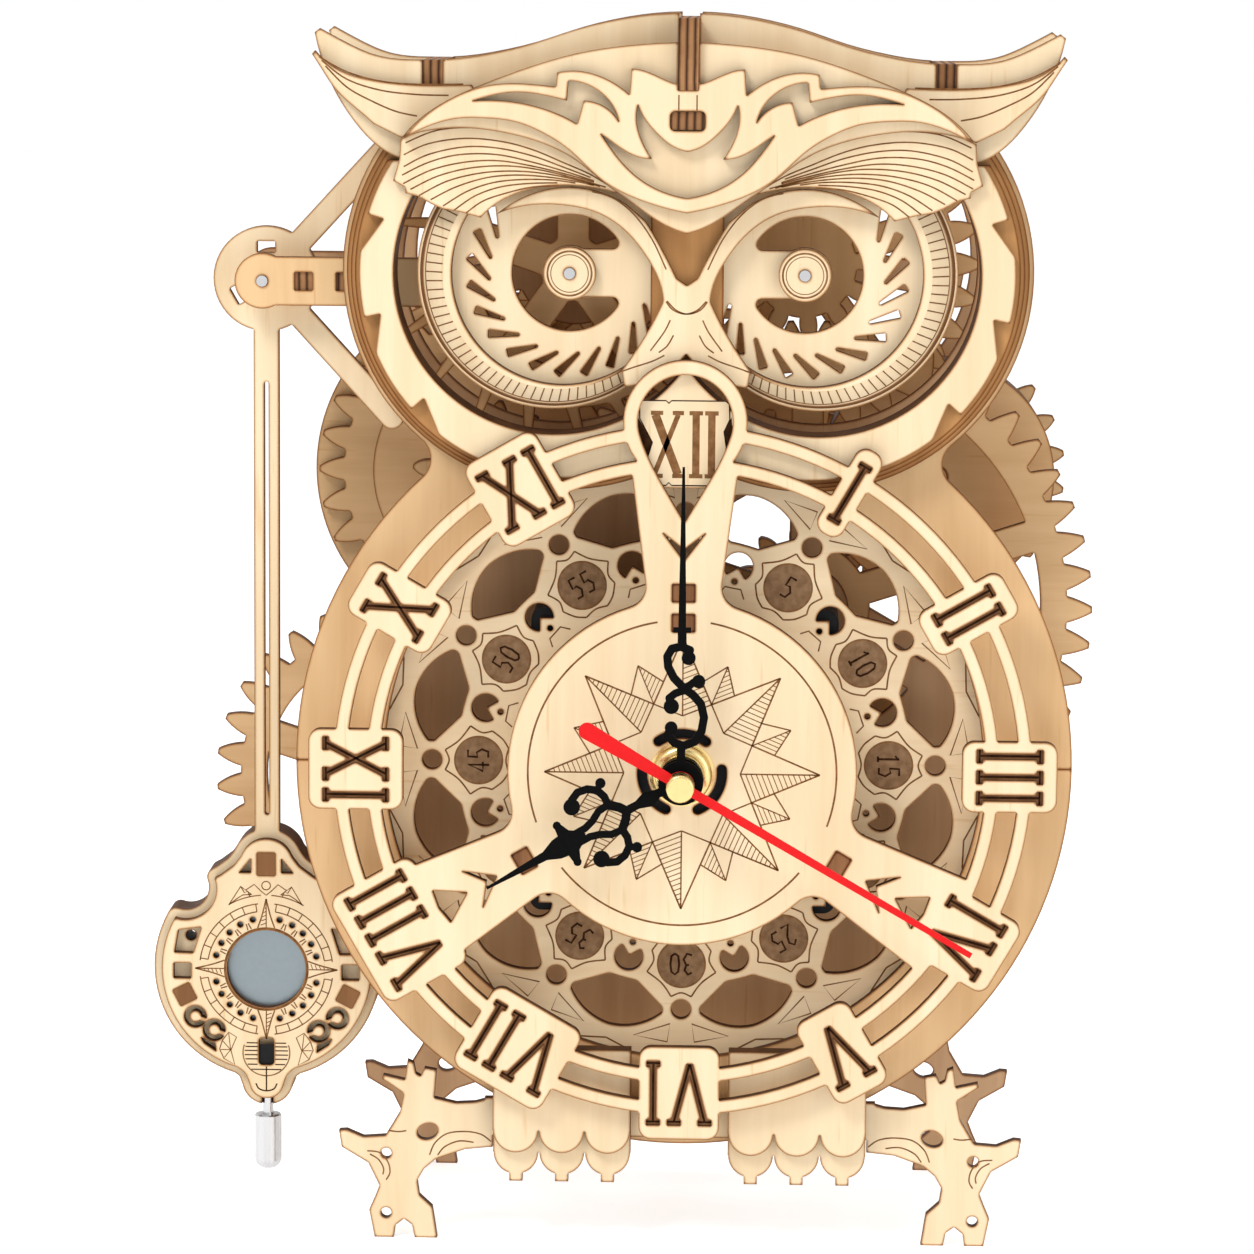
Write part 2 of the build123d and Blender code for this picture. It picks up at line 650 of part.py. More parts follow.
def stroke(start, end, width=STROKE_W):
    """A straight stroke between two points."""
    length = hypot(end[0] - start[0], end[1] - start[1])
    middle = ((start[0] + end[0]) / 2, (start[1] + end[1]) / 2)
    turn = degrees(atan2(end[1] - start[1], end[0] - start[0]))
    return Pos(*middle) * Rot(0, 0, turn) * bar(length, width)


def numeral_cut(text):
    """Roman numeral with slab serifs, upright about the origin."""
    top = (GLYPH_H - STROKE_W) / 2
    cuts = []
    for letter, x, width in letter_places(text)[0]:
        left = x - width / 2
        right = x + width / 2
        if letter == "I":
            lines = [((x, -top), (x, top))]
            serifs = [(x, top), (x, -top)]
        elif letter == "V":
            lines = [((left, top), (x, -top)), ((right, top), (x, -top))]
            serifs = [(left, top), (right, top)]
        else:
            lines = [((left, top), (right, -top)), ((right, top), (left, -top))]
            serifs = [(left, top), (right, top), (left, -top), (right, -top)]
        cuts += [stroke(start, end) for start, end in lines]
        cuts += [Pos(*place) * bar(SERIF_W, STROKE_W) for place in serifs]
    return Sketch() + cuts


def cartouche(text):
    """Rounded plate that carries a numeral, upright about the origin."""
    width = letter_places(text)[1] + 2 * CARTOUCHE_MARGIN
    return RectangleRounded(width, CARTOUCHE_L, CARTOUCHE_CORNER, mode=Mode.PRIVATE)


def hour_place(hour):
    """Place of an hour's numeral, its top turned outwards."""
    x, z = at(CARTOUCHE_R, TOP_TURN - HOUR_STEP * hour)
    return Pos(x, z) * Rot(0, 0, -HOUR_STEP * hour)


def arm_outline(turn):
    """Spoke from the centre disc out to the inner dial ring, widening outwards."""
    inner = HUB_DISC_R - DIAL_RING_W
    outer = DIAL_INNER_R - DIAL_RING_W / 2
    points = [
        (inner, -ARM_W_IN / 2),
        (outer, -ARM_W_OUT / 2),
        (outer, ARM_W_OUT / 2),
        (inner, ARM_W_IN / 2),
    ]
    return Rot(0, 0, turn) * plate(points)


def chevron(turn, inner, outer, half_width, notch):
    """Arrowhead cut that points at the dial centre."""
    points = [(inner, 0), (outer, half_width), (notch, 0), (outer, -half_width)]
    return Rot(0, 0, turn) * plate(points)


def arc_slot(radius, width, turn, span):
    """Curved slot with round ends, on a circle about the origin."""
    reach = 2 * radius
    edges = [at(reach, turn - span / 2), at(reach, turn), at(reach, turn + span / 2)]
    band = (disc(radius + width / 2) - disc(radius - width / 2)) & plate([(0, 0), *edges])
    return band + [Pos(*at(radius, turn + side * span / 2)) * disc(width / 2) for side in (-1, 1)]


def tab_slot(radius, turn, gap=0.0):
    """Square slot for a spacer's tab, its width across the arm."""
    return Rot(0, 0, turn) * Pos(radius, 0) * bar(TAB_H + 2 * gap, TAB_W + 2 * gap)


# Dial sheet: two rings, eleven numeral plates, three arms and the keyhole for the twelfth hour
TONGUE_W = 3.4
CHEVRON_IN_R = 38.4
CHEVRON_OUT_R = 43.6
CHEVRON_NOTCH_R = 40.6
CHEVRON_HALF_W = 3.9
KITE_CUT_IN_R = 44.6
KITE_CUT_OUT_R = 50.0
KITE_CUT_HALF_W = 3.4
KITE_CUT_END_R = 50.6
KEYHOLE_SIDE_SHARES = [(-0.97, -0.24), (-0.79, -0.72), (-0.50, -1.28)]
keyhole_bore_r = KEYHOLE_R - KEYHOLE_WALL
with BuildSketch() as hub_and_arms:
    Circle(HUB_DISC_R)
    for arm_turn in ARM_TURNS:
        add(arm_outline(arm_turn))
    offset(amount=ARM_BLEND_R)
    offset(amount=-ARM_BLEND_R)
keyhole_tip = (0.0, KEYHOLE_TIP_HEIGHT - KEYHOLE_HEIGHT)
keyhole_rim = [(x * keyhole_bore_r, z * keyhole_bore_r) for x, z in KEYHOLE_SIDE_SHARES]
keyhole_rim.append(keyhole_tip)
with BuildSketch() as keyhole_window:
    with BuildLine():
        side = Spline(*keyhole_rim)
        other_side = Spline(*[(-x, z) for x, z in keyhole_rim])
        ThreePointArc(keyhole_rim[0], (0, keyhole_bore_r), (-keyhole_rim[0][0], keyhole_rim[0][1]))
    make_face()
with BuildPart() as dial_plate:
    with BuildSketch(face(DEPTH_DIAL)):
        Circle(DIAL_R)
        Circle(DIAL_R - DIAL_RING_W, mode=Mode.SUBTRACT)
        Circle(DIAL_INNER_R)
        Circle(DIAL_INNER_R - DIAL_RING_W, mode=Mode.SUBTRACT)
        add(hub_and_arms.sketch)
        for hour in range(1, len(NUMERALS)):
            add(hour_place(hour) * cartouche(NUMERALS[hour]))
        with Locations((0, KEYHOLE_HEIGHT)):
            Circle(KEYHOLE_R)
        add(Pos(0, KEYHOLE_HEIGHT) * keyhole_window.sketch, mode=Mode.SUBTRACT)
        for arm_turn in ARM_TURNS:
            cut = chevron(arm_turn, CHEVRON_IN_R, CHEVRON_OUT_R, CHEVRON_HALF_W, CHEVRON_NOTCH_R)
            add(cut, mode=Mode.SUBTRACT)
            add(tab_slot(TAB_OUTER_R, arm_turn), mode=Mode.SUBTRACT)
        for arm_turn in ARM_TURNS[1:]:
            cut = chevron(arm_turn, KITE_CUT_IN_R, KITE_CUT_OUT_R, KITE_CUT_HALF_W, KITE_CUT_END_R)
            add(cut, mode=Mode.SUBTRACT)
            add(arc_slot(HUB_SLOT_R, HUB_SLOT_W, arm_turn, HUB_SLOT_SPAN), mode=Mode.SUBTRACT)
        add(arc_slot(HUB_SLOT_R, HUB_SLOT_W, ARM_TURNS[0], HUB_SLOT_SPAN), mode=Mode.SUBTRACT)
        add(tab_slot(TAB_INNER_R, ARM_TURNS[0]), mode=Mode.SUBTRACT)
        Circle(STEM_R + SEAT_GAP, mode=Mode.SUBTRACT)
    extrude(amount=-SHEET)
    with BuildSketch(face(DEPTH_DIAL)):
        for hour in range(1, len(NUMERALS)):
            add(hour_place(hour) * numeral_cut(NUMERALS[hour]))
    extrude(amount=-ENGRAVE_DEPTH, mode=Mode.SUBTRACT)
dial_plate.part.label = "dial_plate"

# Plaque with the twelfth numeral, behind the keyhole; a raised head keys it into the head ring
PLAQUE_W = 17.2
PLAQUE_DROP = 38.1
PLAQUE_RISE = 11.1
PLAQUE_HEAD_RISE = 4.0
PLAQUE_LOW = EYE_HEIGHT - PLAQUE_DROP
PLAQUE_SHOULDER = PLAQUE_LOW + PLAQUE_RISE
PLAQUE_TOP = PLAQUE_SHOULDER + PLAQUE_HEAD_RISE
PLAQUE_HEAD_W = 8.0
PLAQUE_NOTCH_W = 2.4
PLAQUE_NOTCH_H = 6.0


def plaque_outline(gap=0.0):
    """Plaque outline, grown by a gap on every side."""
    with BuildSketch() as made:
        low = PLAQUE_LOW - gap
        with Locations((0, (low + PLAQUE_SHOULDER + gap) / 2)):
            Rectangle(PLAQUE_W + 2 * gap, PLAQUE_SHOULDER + gap - low)
        with Locations((0, (low + PLAQUE_TOP + gap) / 2)):
            Rectangle(PLAQUE_HEAD_W + 2 * gap, PLAQUE_TOP + gap - low)
    return made.sketch


with BuildPart() as twelve_plaque:
    with BuildSketch(face(DEPTH_NOSE)):
        add(plaque_outline())
        notch_height = (PLAQUE_LOW + PLAQUE_SHOULDER) / 2
        for flip in (-1, 1):
            notch = [
                (flip * PLAQUE_W / 2, notch_height + PLAQUE_NOTCH_H / 2),
                (flip * (PLAQUE_W / 2 - PLAQUE_NOTCH_W), notch_height),
                (flip * PLAQUE_W / 2, notch_height - PLAQUE_NOTCH_H / 2),
            ]
            add(plate(notch), mode=Mode.SUBTRACT)
    extrude(amount=-SHEET)
twelve_plaque.part.label = "twelve_plaque"

# Spacers between the dial sheet and the minute ring: double boards with a tab at each end
SPACER_L = 10.0
with BuildPart() as dial_spacers:
    top_length = TAB_OUTER_R - TAB_INNER_R + SPACER_L - TAB_H
    with BuildSketch(face(DEPTH_NOSE)):
        add(Rot(0, 0, ARM_TURNS[0]) * Pos((TAB_INNER_R + TAB_OUTER_R) / 2, 0) * bar(top_length, TAB_W))
        for arm_turn in ARM_TURNS[1:]:
            add(Rot(0, 0, arm_turn) * Pos(TAB_OUTER_R, 0) * bar(SPACER_L, TAB_W))
    extrude(amount=-(DEPTH_RING - DEPTH_NOSE))
    with BuildSketch(face(DEPTH_DIAL)):
        for arm_turn in ARM_TURNS:
            add(tab_slot(TAB_OUTER_R, arm_turn, gap=-SHAFT_GAP))
        add(tab_slot(TAB_INNER_R, ARM_TURNS[0], gap=-SHAFT_GAP))
    extrude(amount=-SHEET)
dial_spacers.part.label = "dial_spacers"

# Minute ring: arched windows, pin holes, crescents and small hearts, twelve of each
with BuildSketch() as ring_pattern:
    for index in range(len(NUMERALS)):
        middle = HOUR_STEP * (index + 0.5)
        foot_r = CRESCENT_CIRCLE_R + BOSS_R
        left = [
            at(WINDOW_SIDE_R, middle + WINDOW_SIDE_ANGLE),
            at(WINDOW_CORNER_R, middle + WINDOW_SIDE_ANGLE),
            at(foot_r, middle + WINDOW_FOOT_ANGLE),
        ]
        right = [
            at(foot_r, middle - WINDOW_FOOT_ANGLE),
            at(WINDOW_CORNER_R, middle - WINDOW_SIDE_ANGLE),
            at(WINDOW_SIDE_R, middle - WINDOW_SIDE_ANGLE),
        ]
        top = at(WINDOW_TOP_R, middle)
        with BuildLine():
            ThreePointArc(top, at(WINDOW_ARCH_R, middle + WINDOW_ARCH_ANGLE), left[0])
            Polyline(*left)
            ThreePointArc(left[2], at(foot_r, middle), right[0])
            Polyline(*right)
            ThreePointArc(right[2], at(WINDOW_ARCH_R, middle - WINDOW_ARCH_ANGLE), top)
        make_face()
        with Locations(at(PIN_CIRCLE_R, HOUR_STEP * index)):
            Circle(PIN_HOLE_R)
        with Locations(at(HEART_CIRCLE_R, middle)):
            Circle(HEART_R)
        tongue = Rot(0, 0, middle) * Pos(CRESCENT_CIRCLE_R - CRESCENT_R, 0) * Rot(0, 0, 45)
        moon = Pos(*at(CRESCENT_CIRCLE_R, middle)) * disc(CRESCENT_R)
        add(moon - tongue * bar(TONGUE_W, TONGUE_W))
with BuildPart() as minute_ring:
    with BuildSketch(face(DEPTH_RING)):
        Circle(RING_R)
        add(ring_pattern.sketch, mode=Mode.SUBTRACT)
        Circle(STEM_R + SEAT_GAP, mode=Mode.SUBTRACT)
    extrude(amount=-SHEET)
minute_ring.part.label = "minute_ring"


# Body sheets: the round body, the neck and the head behind its stepped rings
def head_pair(radius, centre_x=HEAD_RING_X):
    """Two circles, one about each eye."""
    with BuildSketch() as made:
        with Locations((-centre_x, EYE_HEIGHT), (centre_x, EYE_HEIGHT)):
            Circle(radius)
    return made.sketch


head_hole = head_pair(HEAD_HOLE_R, HEAD_HOLE_X)
with BuildSketch() as body_outline:
    Circle(BODY_R)
    add(head_pair(HEAD_RING_R + 4 * HEAD_STEP))
    offset(amount=NECK_BLEND_R)
    offset(amount=-NECK_BLEND_R)
rib_slots = [
    (0.0, RIB_BASE_HEIGHT, RIB_H),
    (-SIDE_RIB_X, SIDE_RIB_BASE_HEIGHT, SIDE_RIB_H),
    (SIDE_RIB_X, SIDE_RIB_BASE_HEIGHT, SIDE_RIB_H),
]


def rib_cut(places, grow=0.0, open_top=0.0):
    """Slots in a sheet for the crown ribs."""
    with BuildSketch() as made:
        for x, base, height in places:
            with Locations((x, base + (height + open_top) / 2)):
                Rectangle(RIB_W + 2 * grow, height + open_top + 2 * grow)
    return made.sketch


def half_body(sign):
    """Upper or lower part of the body sheet, parted across the dial axis."""
    with BuildSketch() as made:
        add(body_outline.sketch)
        Circle(BODY_HOLE_R, mode=Mode.SUBTRACT)
        add(head_hole - disc(BODY_HOLE_R + NECK_WEB), mode=Mode.SUBTRACT)
        width = 3 * BODY_R
        with Locations((0, sign * width / 2 + sign * SHAFT_GAP / 2)):
            Rectangle(width, width, mode=Mode.INTERSECT)
    return made.sketch


with BuildPart() as body_front_upper:
    with BuildSketch(face(DEPTH_BODY)):
        add(half_body(1))
        add(rib_cut(rib_slots, RIB_SLOT_GAP), mode=Mode.SUBTRACT)
    extrude(amount=-SHEET)
body_front_upper.part.label = "body_front_upper"
with BuildPart() as body_front_lower:
    with BuildSketch(face(DEPTH_BODY)):
        add(half_body(-1))
    extrude(amount=-SHEET)
body_front_lower.part.label = "body_front_lower"

# Head rings, each step standing out a little further than the one in front
with BuildPart() as head_ring:
    with BuildSketch(face(DEPTH_NOSE)):
        add(head_pair(HEAD_RING_R))
        for flip in (-1, 1):
            for index in range(NOTCH_COUNT):
                notch_turn = NOTCH_ANGLE + NOTCH_STEP * index
                deep = at(HEAD_RING_R - NOTCH_DEPTH, notch_turn)
                out = at(HEAD_RING_R + OVERRUN, notch_turn)
                far = at(HEAD_RING_R + SHEET / 2, notch_turn + NOTCH_SWEEP)
                points = [(flip * (HEAD_RING_X * -1 + x), EYE_HEIGHT + z) for x, z in (deep, out, far)]
                add(plate(points), mode=Mode.SUBTRACT)
        add(head_hole, mode=Mode.SUBTRACT)
        with Locations((0, HEAD_CUT_HEIGHT + BODY_R / 2)):
            Rectangle(2 * BODY_R, BODY_R, mode=Mode.SUBTRACT)
        add(plaque_outline(SEAT_GAP), mode=Mode.SUBTRACT)
        with Locations((0, HEAD_CUT_HEIGHT)):
            Rectangle(BRIDGE_W, BRIDGE_W, mode=Mode.SUBTRACT)
    extrude(amount=-SHEET)
head_ring.part.label = "head_ring"
with BuildPart() as step_ring_front:
    with BuildSketch(face(DEPTH_CROWN)):
        add(head_pair(HEAD_RING_R + HEAD_STEP))
        add(head_hole, mode=Mode.SUBTRACT)
        bridge_low = EYE_HEIGHT - HEAD_HOLE_R / 2 - OVERRUN
        with Locations((0, (bridge_low + HEAD_CUT_HEIGHT) / 2)):
            Rectangle(BRIDGE_W, HEAD_CUT_HEIGHT - bridge_low)
        with Locations((0, HEAD_CUT_HEIGHT + BODY_R / 2)):
            Rectangle(2 * BODY_R, BODY_R, mode=Mode.SUBTRACT)
    extrude(amount=-SHEET)
step_ring_front.part.label = "step_ring_front"
with BuildPart() as step_ring_middle:
    with BuildSketch(face(DEPTH_EYE)):
        add(head_pair(HEAD_RING_R + 2 * HEAD_STEP))
        add(head_hole, mode=Mode.SUBTRACT)
        add(rib_cut(rib_slots, RIB_SLOT_GAP), mode=Mode.SUBTRACT)
    extrude(amount=-SHEET)
step_ring_middle.part.label = "step_ring_middle"
with BuildPart() as step_ring_back:
    with BuildSketch(face(DEPTH_FEET)):
        add(head_pair(HEAD_RING_R + 3 * HEAD_STEP))
        add(head_hole, mode=Mode.SUBTRACT)
        add(rib_cut(rib_slots, RIB_SLOT_GAP), mode=Mode.SUBTRACT)
    extrude(amount=-SHEET)
step_ring_back.part.label = "step_ring_back"

# Nose and eyelids
with BuildPart() as nose_plate:
    with BuildSketch(face(DEPTH_NOSE)):
        add(filled_pair(NOSE_HALF_SHARES, ORNAMENT_W, EYE_HEIGHT))
    extrude(amount=-SHEET)
nose_plate.part.label = "nose_plate"


# Eyes: a plate with a curled window and slanted lashes, a conical bezel and an axle bush
def eye_window(flip):
    """Window round the hub, open everywhere but towards the nose."""
    with BuildSketch() as made:
        with Locations((flip * EYE_X, EYE_HEIGHT)):
            Circle(EYE_WINDOW_R)
            Circle(EYE_HUB_R, mode=Mode.SUBTRACT)
        with Locations((flip * (EYE_X - EYE_WINDOW_R), EYE_HEIGHT)):
            Rectangle(2 * EYE_WINDOW_R, EYE_LINK_W, mode=Mode.SUBTRACT)
        offset(amount=-EYE_LINK_W / 8)
        offset(amount=EYE_LINK_W / 8)
    return made.sketch


def lash(flip, index):
    """One slanted wedge in the eye plate."""
    turn = LASH_START + LASH_STEP * index
    points = [
        (LASH_L / 2, LASH_W / 2),
        (-LASH_L / 2, LASH_W / 6),
        (-LASH_L / 2, -LASH_W / 6),
        (LASH_L / 2, -LASH_W / 2),
    ]
    wedge = plate(points)
    placed = Rot(0, 0, turn) * Pos(LASH_CIRCLE_R, 0) * Rot(0, 0, -LASH_SLANT) * wedge
    placed = Pos(-EYE_X, EYE_HEIGHT) * placed
    return placed if flip < 0 else mirrored(placed)


def bezel_part(flip):
    """Ring whose face slopes back to its rim, wider on the outer side."""
    back = DEPTH_EYE
    front = DEPTH_EYE - BEZEL_T
    bore_x = flip * BEZEL_BORE_X
    middle_x = flip * (EYE_PLATE_X + BEZEL_BORE_X) / 2
    with BuildPart() as made:
        with BuildSketch(face(front)):
            with Locations((middle_x, EYE_HEIGHT)):
                Circle(BEZEL_FACE_R)
        with BuildSketch(face(back)):
            with Locations((flip * EYE_PLATE_X, EYE_HEIGHT)):
                Circle(BEZEL_R)
        loft()
        with BuildSketch(face(front)):
            with Locations((bore_x, EYE_HEIGHT)):
                Circle(BEZEL_BORE_R)
        extrude(amount=-BEZEL_T, mode=Mode.SUBTRACT)
        with BuildSketch(face(front)):
            Rectangle(BRIDGE_W + 2 * SEAT_GAP, 4 * BODY_R)
        extrude(amount=-BEZEL_T, mode=Mode.SUBTRACT)
        add(nose_plate.part, mode=Mode.SUBTRACT)
    return made.part


with BuildPart() as eye_plate:
    with BuildSketch(face(DEPTH_EYE)):
        with Locations((-EYE_PLATE_X, EYE_HEIGHT), (EYE_PLATE_X, EYE_HEIGHT)):
            Circle(EYE_PLATE_R)
        with Locations((0, EYE_HEIGHT)):
            Rectangle(EYE_PLATE_X, EYE_LINK_H)
        for flip in (-1, 1):
            add(eye_window(flip), mode=Mode.SUBTRACT)
            for index in range(LASH_COUNT):
                add(lash(flip, index), mode=Mode.SUBTRACT)
        with Locations(LEFT_EYE, RIGHT_EYE):
            Circle(AXLE_R + SHAFT_GAP, mode=Mode.SUBTRACT)
    extrude(amount=-SHEET)
eye_plate.part.label = "eye_plate"
with BuildPart() as eye_bezel_left:
    add(bezel_part(-1))
eye_bezel_left.part.label = "eye_bezel_left"
with BuildPart() as eye_bezel_right:
    add(bezel_part(1))
eye_bezel_right.part.label = "eye_bezel_right"
with BuildPart() as eye_bushes:
    with BuildSketch(face(DEPTH_CROWN)):
        with Locations((-EYE_X, EYE_HEIGHT), (EYE_X, EYE_HEIGHT)):
            Circle(BUSH_R)
            Circle(AXLE_R + SHAFT_GAP, mode=Mode.SUBTRACT)
    extrude(amount=-SHEET)
eye_bushes.part.label = "eye_bushes"

# Brows, ears, forehead and crown
with BuildPart() as brows:
    with BuildSketch(face(DEPTH_DIAL)):
        for flip in (-1, 1):
            add(filled(BROW_SHARES, ORNAMENT_W, EYE_HEIGHT, flip))
    extrude(amount=-SHEET)
brows.part.label = "brows"
with BuildPart() as ears:
    with BuildSketch(face(DEPTH_NOSE)):
        for flip in (-1, 1):
            add(filled(EAR_SHARES, ORNAMENT_W, EYE_HEIGHT, flip))
    extrude(amount=-SHEET)
ears.part.label = "ears"
with BuildPart() as forehead_ornament:
    with BuildSketch(face(DEPTH_ORNAMENT)):
        add(filled_pair(ORNAMENT_HALF_SHARES, ORNAMENT_W, EYE_HEIGHT))
        for flip in (-1, 1):
            add(filled(ORNAMENT_CRESCENT_SHARES, ORNAMENT_W, EYE_HEIGHT, -flip), mode=Mode.SUBTRACT)
        add(filled_pair(ORNAMENT_CHIN_SHARES, ORNAMENT_W, EYE_HEIGHT), mode=Mode.SUBTRACT)
        with Locations((0, EYE_HEIGHT + ORNAMENT_SLOT_Z_SHARE * ORNAMENT_W)):
            slot_w = ORNAMENT_SLOT_W_SHARE * ORNAMENT_W
            slot_h = ORNAMENT_SLOT_H_SHARE * ORNAMENT_W
            RectangleRounded(slot_w, slot_h, slot_h / 4, mode=Mode.SUBTRACT)
        add(rib_cut(rib_slots[:1], RIB_SLOT_GAP, OVERRUN), mode=Mode.SUBTRACT)
    extrude(amount=-SHEET)
forehead_ornament.part.label = "forehead_ornament"
with BuildPart() as forehead_plate:
    with BuildSketch(face(DEPTH_FOREHEAD)):
        add(filled_pair(FOREHEAD_HALF_SHARES, ORNAMENT_W, EYE_HEIGHT))
        add(rib_cut(rib_slots[:1], RIB_SLOT_GAP, OVERRUN), mode=Mode.SUBTRACT)
    extrude(amount=-SHEET)
forehead_plate.part.label = "forehead_plate"
with BuildPart() as crown_front:
    with BuildSketch(face(DEPTH_CROWN)):
        add(filled_pair(CROWN_HALF_SHARES, ORNAMENT_W, EYE_HEIGHT))
        add(head_pair(BEZEL_R + SEAT_GAP, EYE_PLATE_X), mode=Mode.SUBTRACT)
        add(rib_cut(rib_slots, RIB_SLOT_GAP, OVERRUN), mode=Mode.SUBTRACT)
    extrude(amount=-SHEET)
crown_front.part.label = "crown_front"
with BuildPart() as crown_back:
    with BuildSketch(face(DEPTH_CROWN_BACK)):
        add(filled_pair(CROWN_HALF_SHARES, ORNAMENT_W, EYE_HEIGHT))
        add(rib_cut(rib_slots, RIB_SLOT_GAP, OVERRUN), mode=Mode.SUBTRACT)
    extrude(amount=-SHEET)
crown_back.part.label = "crown_back"
with BuildPart() as crown_ribs:
    with BuildSketch(face(DEPTH_ORNAMENT)):
        add(rib_cut(rib_slots[:1]))
    extrude(amount=-(DEPTH_CROWN_BACK + SHEET - DEPTH_ORNAMENT))
    with BuildSketch(face(DEPTH_CROWN)):
        add(rib_cut(rib_slots[1:]))
    extrude(amount=-(DEPTH_CROWN_BACK + SHEET - DEPTH_CROWN))
crown_ribs.part.label = "crown_ribs"

# Feet, and the talons that hang in front of them
with BuildSketch() as one_foot:
    with BuildLine():
        Polyline(*[(x * STANCE_W, z * STANCE_W) for x, z in FOOT_SHARES], close=True)
    make_face()
    for x, z in FOOT_HOLE_SHARES:
        with Locations((x * STANCE_W, z * STANCE_W)):
            Circle(FOOT_HOLE_R, mode=Mode.SUBTRACT)
    with Locations((FOOT_EYE_SHARE[0] * STANCE_W, FOOT_EYE_SHARE[1] * STANCE_W)):
        Ellipse(FOOT_EYE_R, FOOT_EYE_R * 3 / 4, rotation=20, mode=Mode.SUBTRACT)
beam_end_x = -FOOT_SHARES[0][0] * STANCE_W
beam_top = FOOT_SHARES[-1][1] * STANCE_W
beam_low = BEAM_LOW_SHARE * STANCE_W


def feet_sheet(depth):
    """Both feet of one sheet, joined by a beam across."""
    with BuildPart() as made:
        with BuildSketch(face(depth)):
            add(one_foot.sketch)
            add(mirrored(one_foot.sketch))
            with Locations((0, (beam_top + beam_low) / 2)):
                Rectangle(2 * beam_end_x + OVERRUN, beam_top - beam_low)
        extrude(amount=-SHEET)
    return made.part


with BuildPart() as feet_front:
    add(feet_sheet(DEPTH_FEET))
feet_front.part.label = "feet_front"
with BuildPart() as feet_back:
    add(feet_sheet(DEPTH_BACK + SHEET))
feet_back.part.label = "feet_back"


def talon_sheet(depth, tip, nibs):
    """Two groups of three rounded toes side by side, joined along their tops."""
    with BuildPart() as made:
        with BuildSketch(face(depth)):
            for flip in (-1, 1):
                for index in range(TALON_COUNT):
                    x = flip * (TALON_X - TALON_PITCH * index)
                    height = TALON_TOP_HEIGHT - tip - TALON_W / 2
                    with Locations((x, TALON_TOP_HEIGHT - height / 2)):
                        Rectangle(TALON_PITCH, height)
                    with Locations((x, tip + TALON_W / 2)):
                        Circle(TALON_W / 2)
                    if nibs:
                        with Locations((x, tip)):
                            Rectangle(NIB_W, 2 * NIB_H)
        extrude(amount=-SHEET)
    return made.part


with BuildPart() as talons_front:
    add(talon_sheet(DEPTH_CROWN, TALON_FRONT_TIP, False))
talons_front.part.label = "talons_front"
with BuildPart() as talons_back:
    add(talon_sheet(DEPTH_EYE, TALON_BACK_TIP, True))
talons_back.part.label = "talons_back"


# Middle and rear frame sheets, and the pillars between the sheets
def head_and_body(radius, head_r):
    """Round body with the two head circles, blended at the neck."""
    with BuildSketch() as made:
        Circle(radius)
        add(head_pair(head_r))
        with Locations((0, EYE_HEIGHT / 2)):
            Rectangle(NECK_W, EYE_HEIGHT)
        offset(amount=NECK_BLEND_R)
        offset(amount=-NECK_BLEND_R)
    return made.sketch


def held_hub(place, hub_r, side):
    """Arbor hub on three spokes, the right eye's the mirror of the left eye's."""
    hub = disc(hub_r)
    for turn in LEFT_SPOKE_TURNS:
        x, z = at(FRAME_EYE_R / 2, turn)
        lean = degrees(atan2(z, side * x))
        hub += Pos(side * x, z) * Rot(0, 0, lean) * bar(FRAME_EYE_R + OVERRUN, SPOKE_W)
    return Pos(*place) * hub


frame_windows = head_pair(FRAME_EYE_R, HEAD_HOLE_X)
frame_windows -= Pos(0, EYE_HEIGHT) * bar(FRAME_WEB_W, 2 * FRAME_EYE_R)
with BuildPart() as mid_frame:
    with BuildSketch(face(DEPTH_MID)):
        add(head_and_body(MID_R, HEAD_RING_R))
        arm_l = -PIVOT_X - BODY_R / 2
        with Locations((PIVOT_X + arm_l / 2, PIVOT_HEIGHT)):
            Rectangle(arm_l, BRACKET_H)
        with Locations(PIVOT):
            Circle(BRACKET_R)
        add(frame_windows - held_hub(LEFT_EYE, MID_HUB_R, 1), mode=Mode.SUBTRACT)
        add(Pos(*GREAT) * spoke_gaps(FRAME_GREAT_R, FRAME_HUB_R, MID_SPOKES), mode=Mode.SUBTRACT)
        with Locations((MID_WINDOW_X, MID_WINDOW_HEIGHT)):
            Circle(MID_WINDOW_R, mode=Mode.SUBTRACT)
        with Locations(LEFT_EYE, GREAT, SIDE_UPPER, SIDE_LOWER, PIVOT):
            Circle(AXLE_R + SHAFT_GAP, mode=Mode.SUBTRACT)
    extrude(amount=-SHEET)
mid_frame.part.label = "mid_frame"
with BuildPart() as back_frame:
    with BuildSketch(face(DEPTH_BACK)):
        add(head_and_body(BACK_R, BACK_HEAD_R))
        add(Pos(*GREAT) * spoke_gaps(FRAME_GREAT_R, FRAME_HUB_R, MID_SPOKES), mode=Mode.SUBTRACT)
        back_hubs = held_hub(LEFT_EYE, FRAME_HUB_R, 1) + held_hub(RIGHT_EYE, FRAME_HUB_R, -1)
        add(frame_windows - back_hubs, mode=Mode.SUBTRACT)
        with Locations((BACK_WINDOW_X, BACK_WINDOW_HEIGHT)):
            Circle(BACK_WINDOW_R, mode=Mode.SUBTRACT)
        with Locations(LEFT_EYE, RIGHT_EYE, GREAT, SIDE_UPPER, SIDE_LOWER):
            Circle(AXLE_R + SHAFT_GAP, mode=Mode.SUBTRACT)
        with Locations(BARREL):
            Circle(KEY_STEM_R + SHAFT_GAP, mode=Mode.SUBTRACT)
    extrude(amount=-SHEET)
back_frame.part.label = "back_frame"


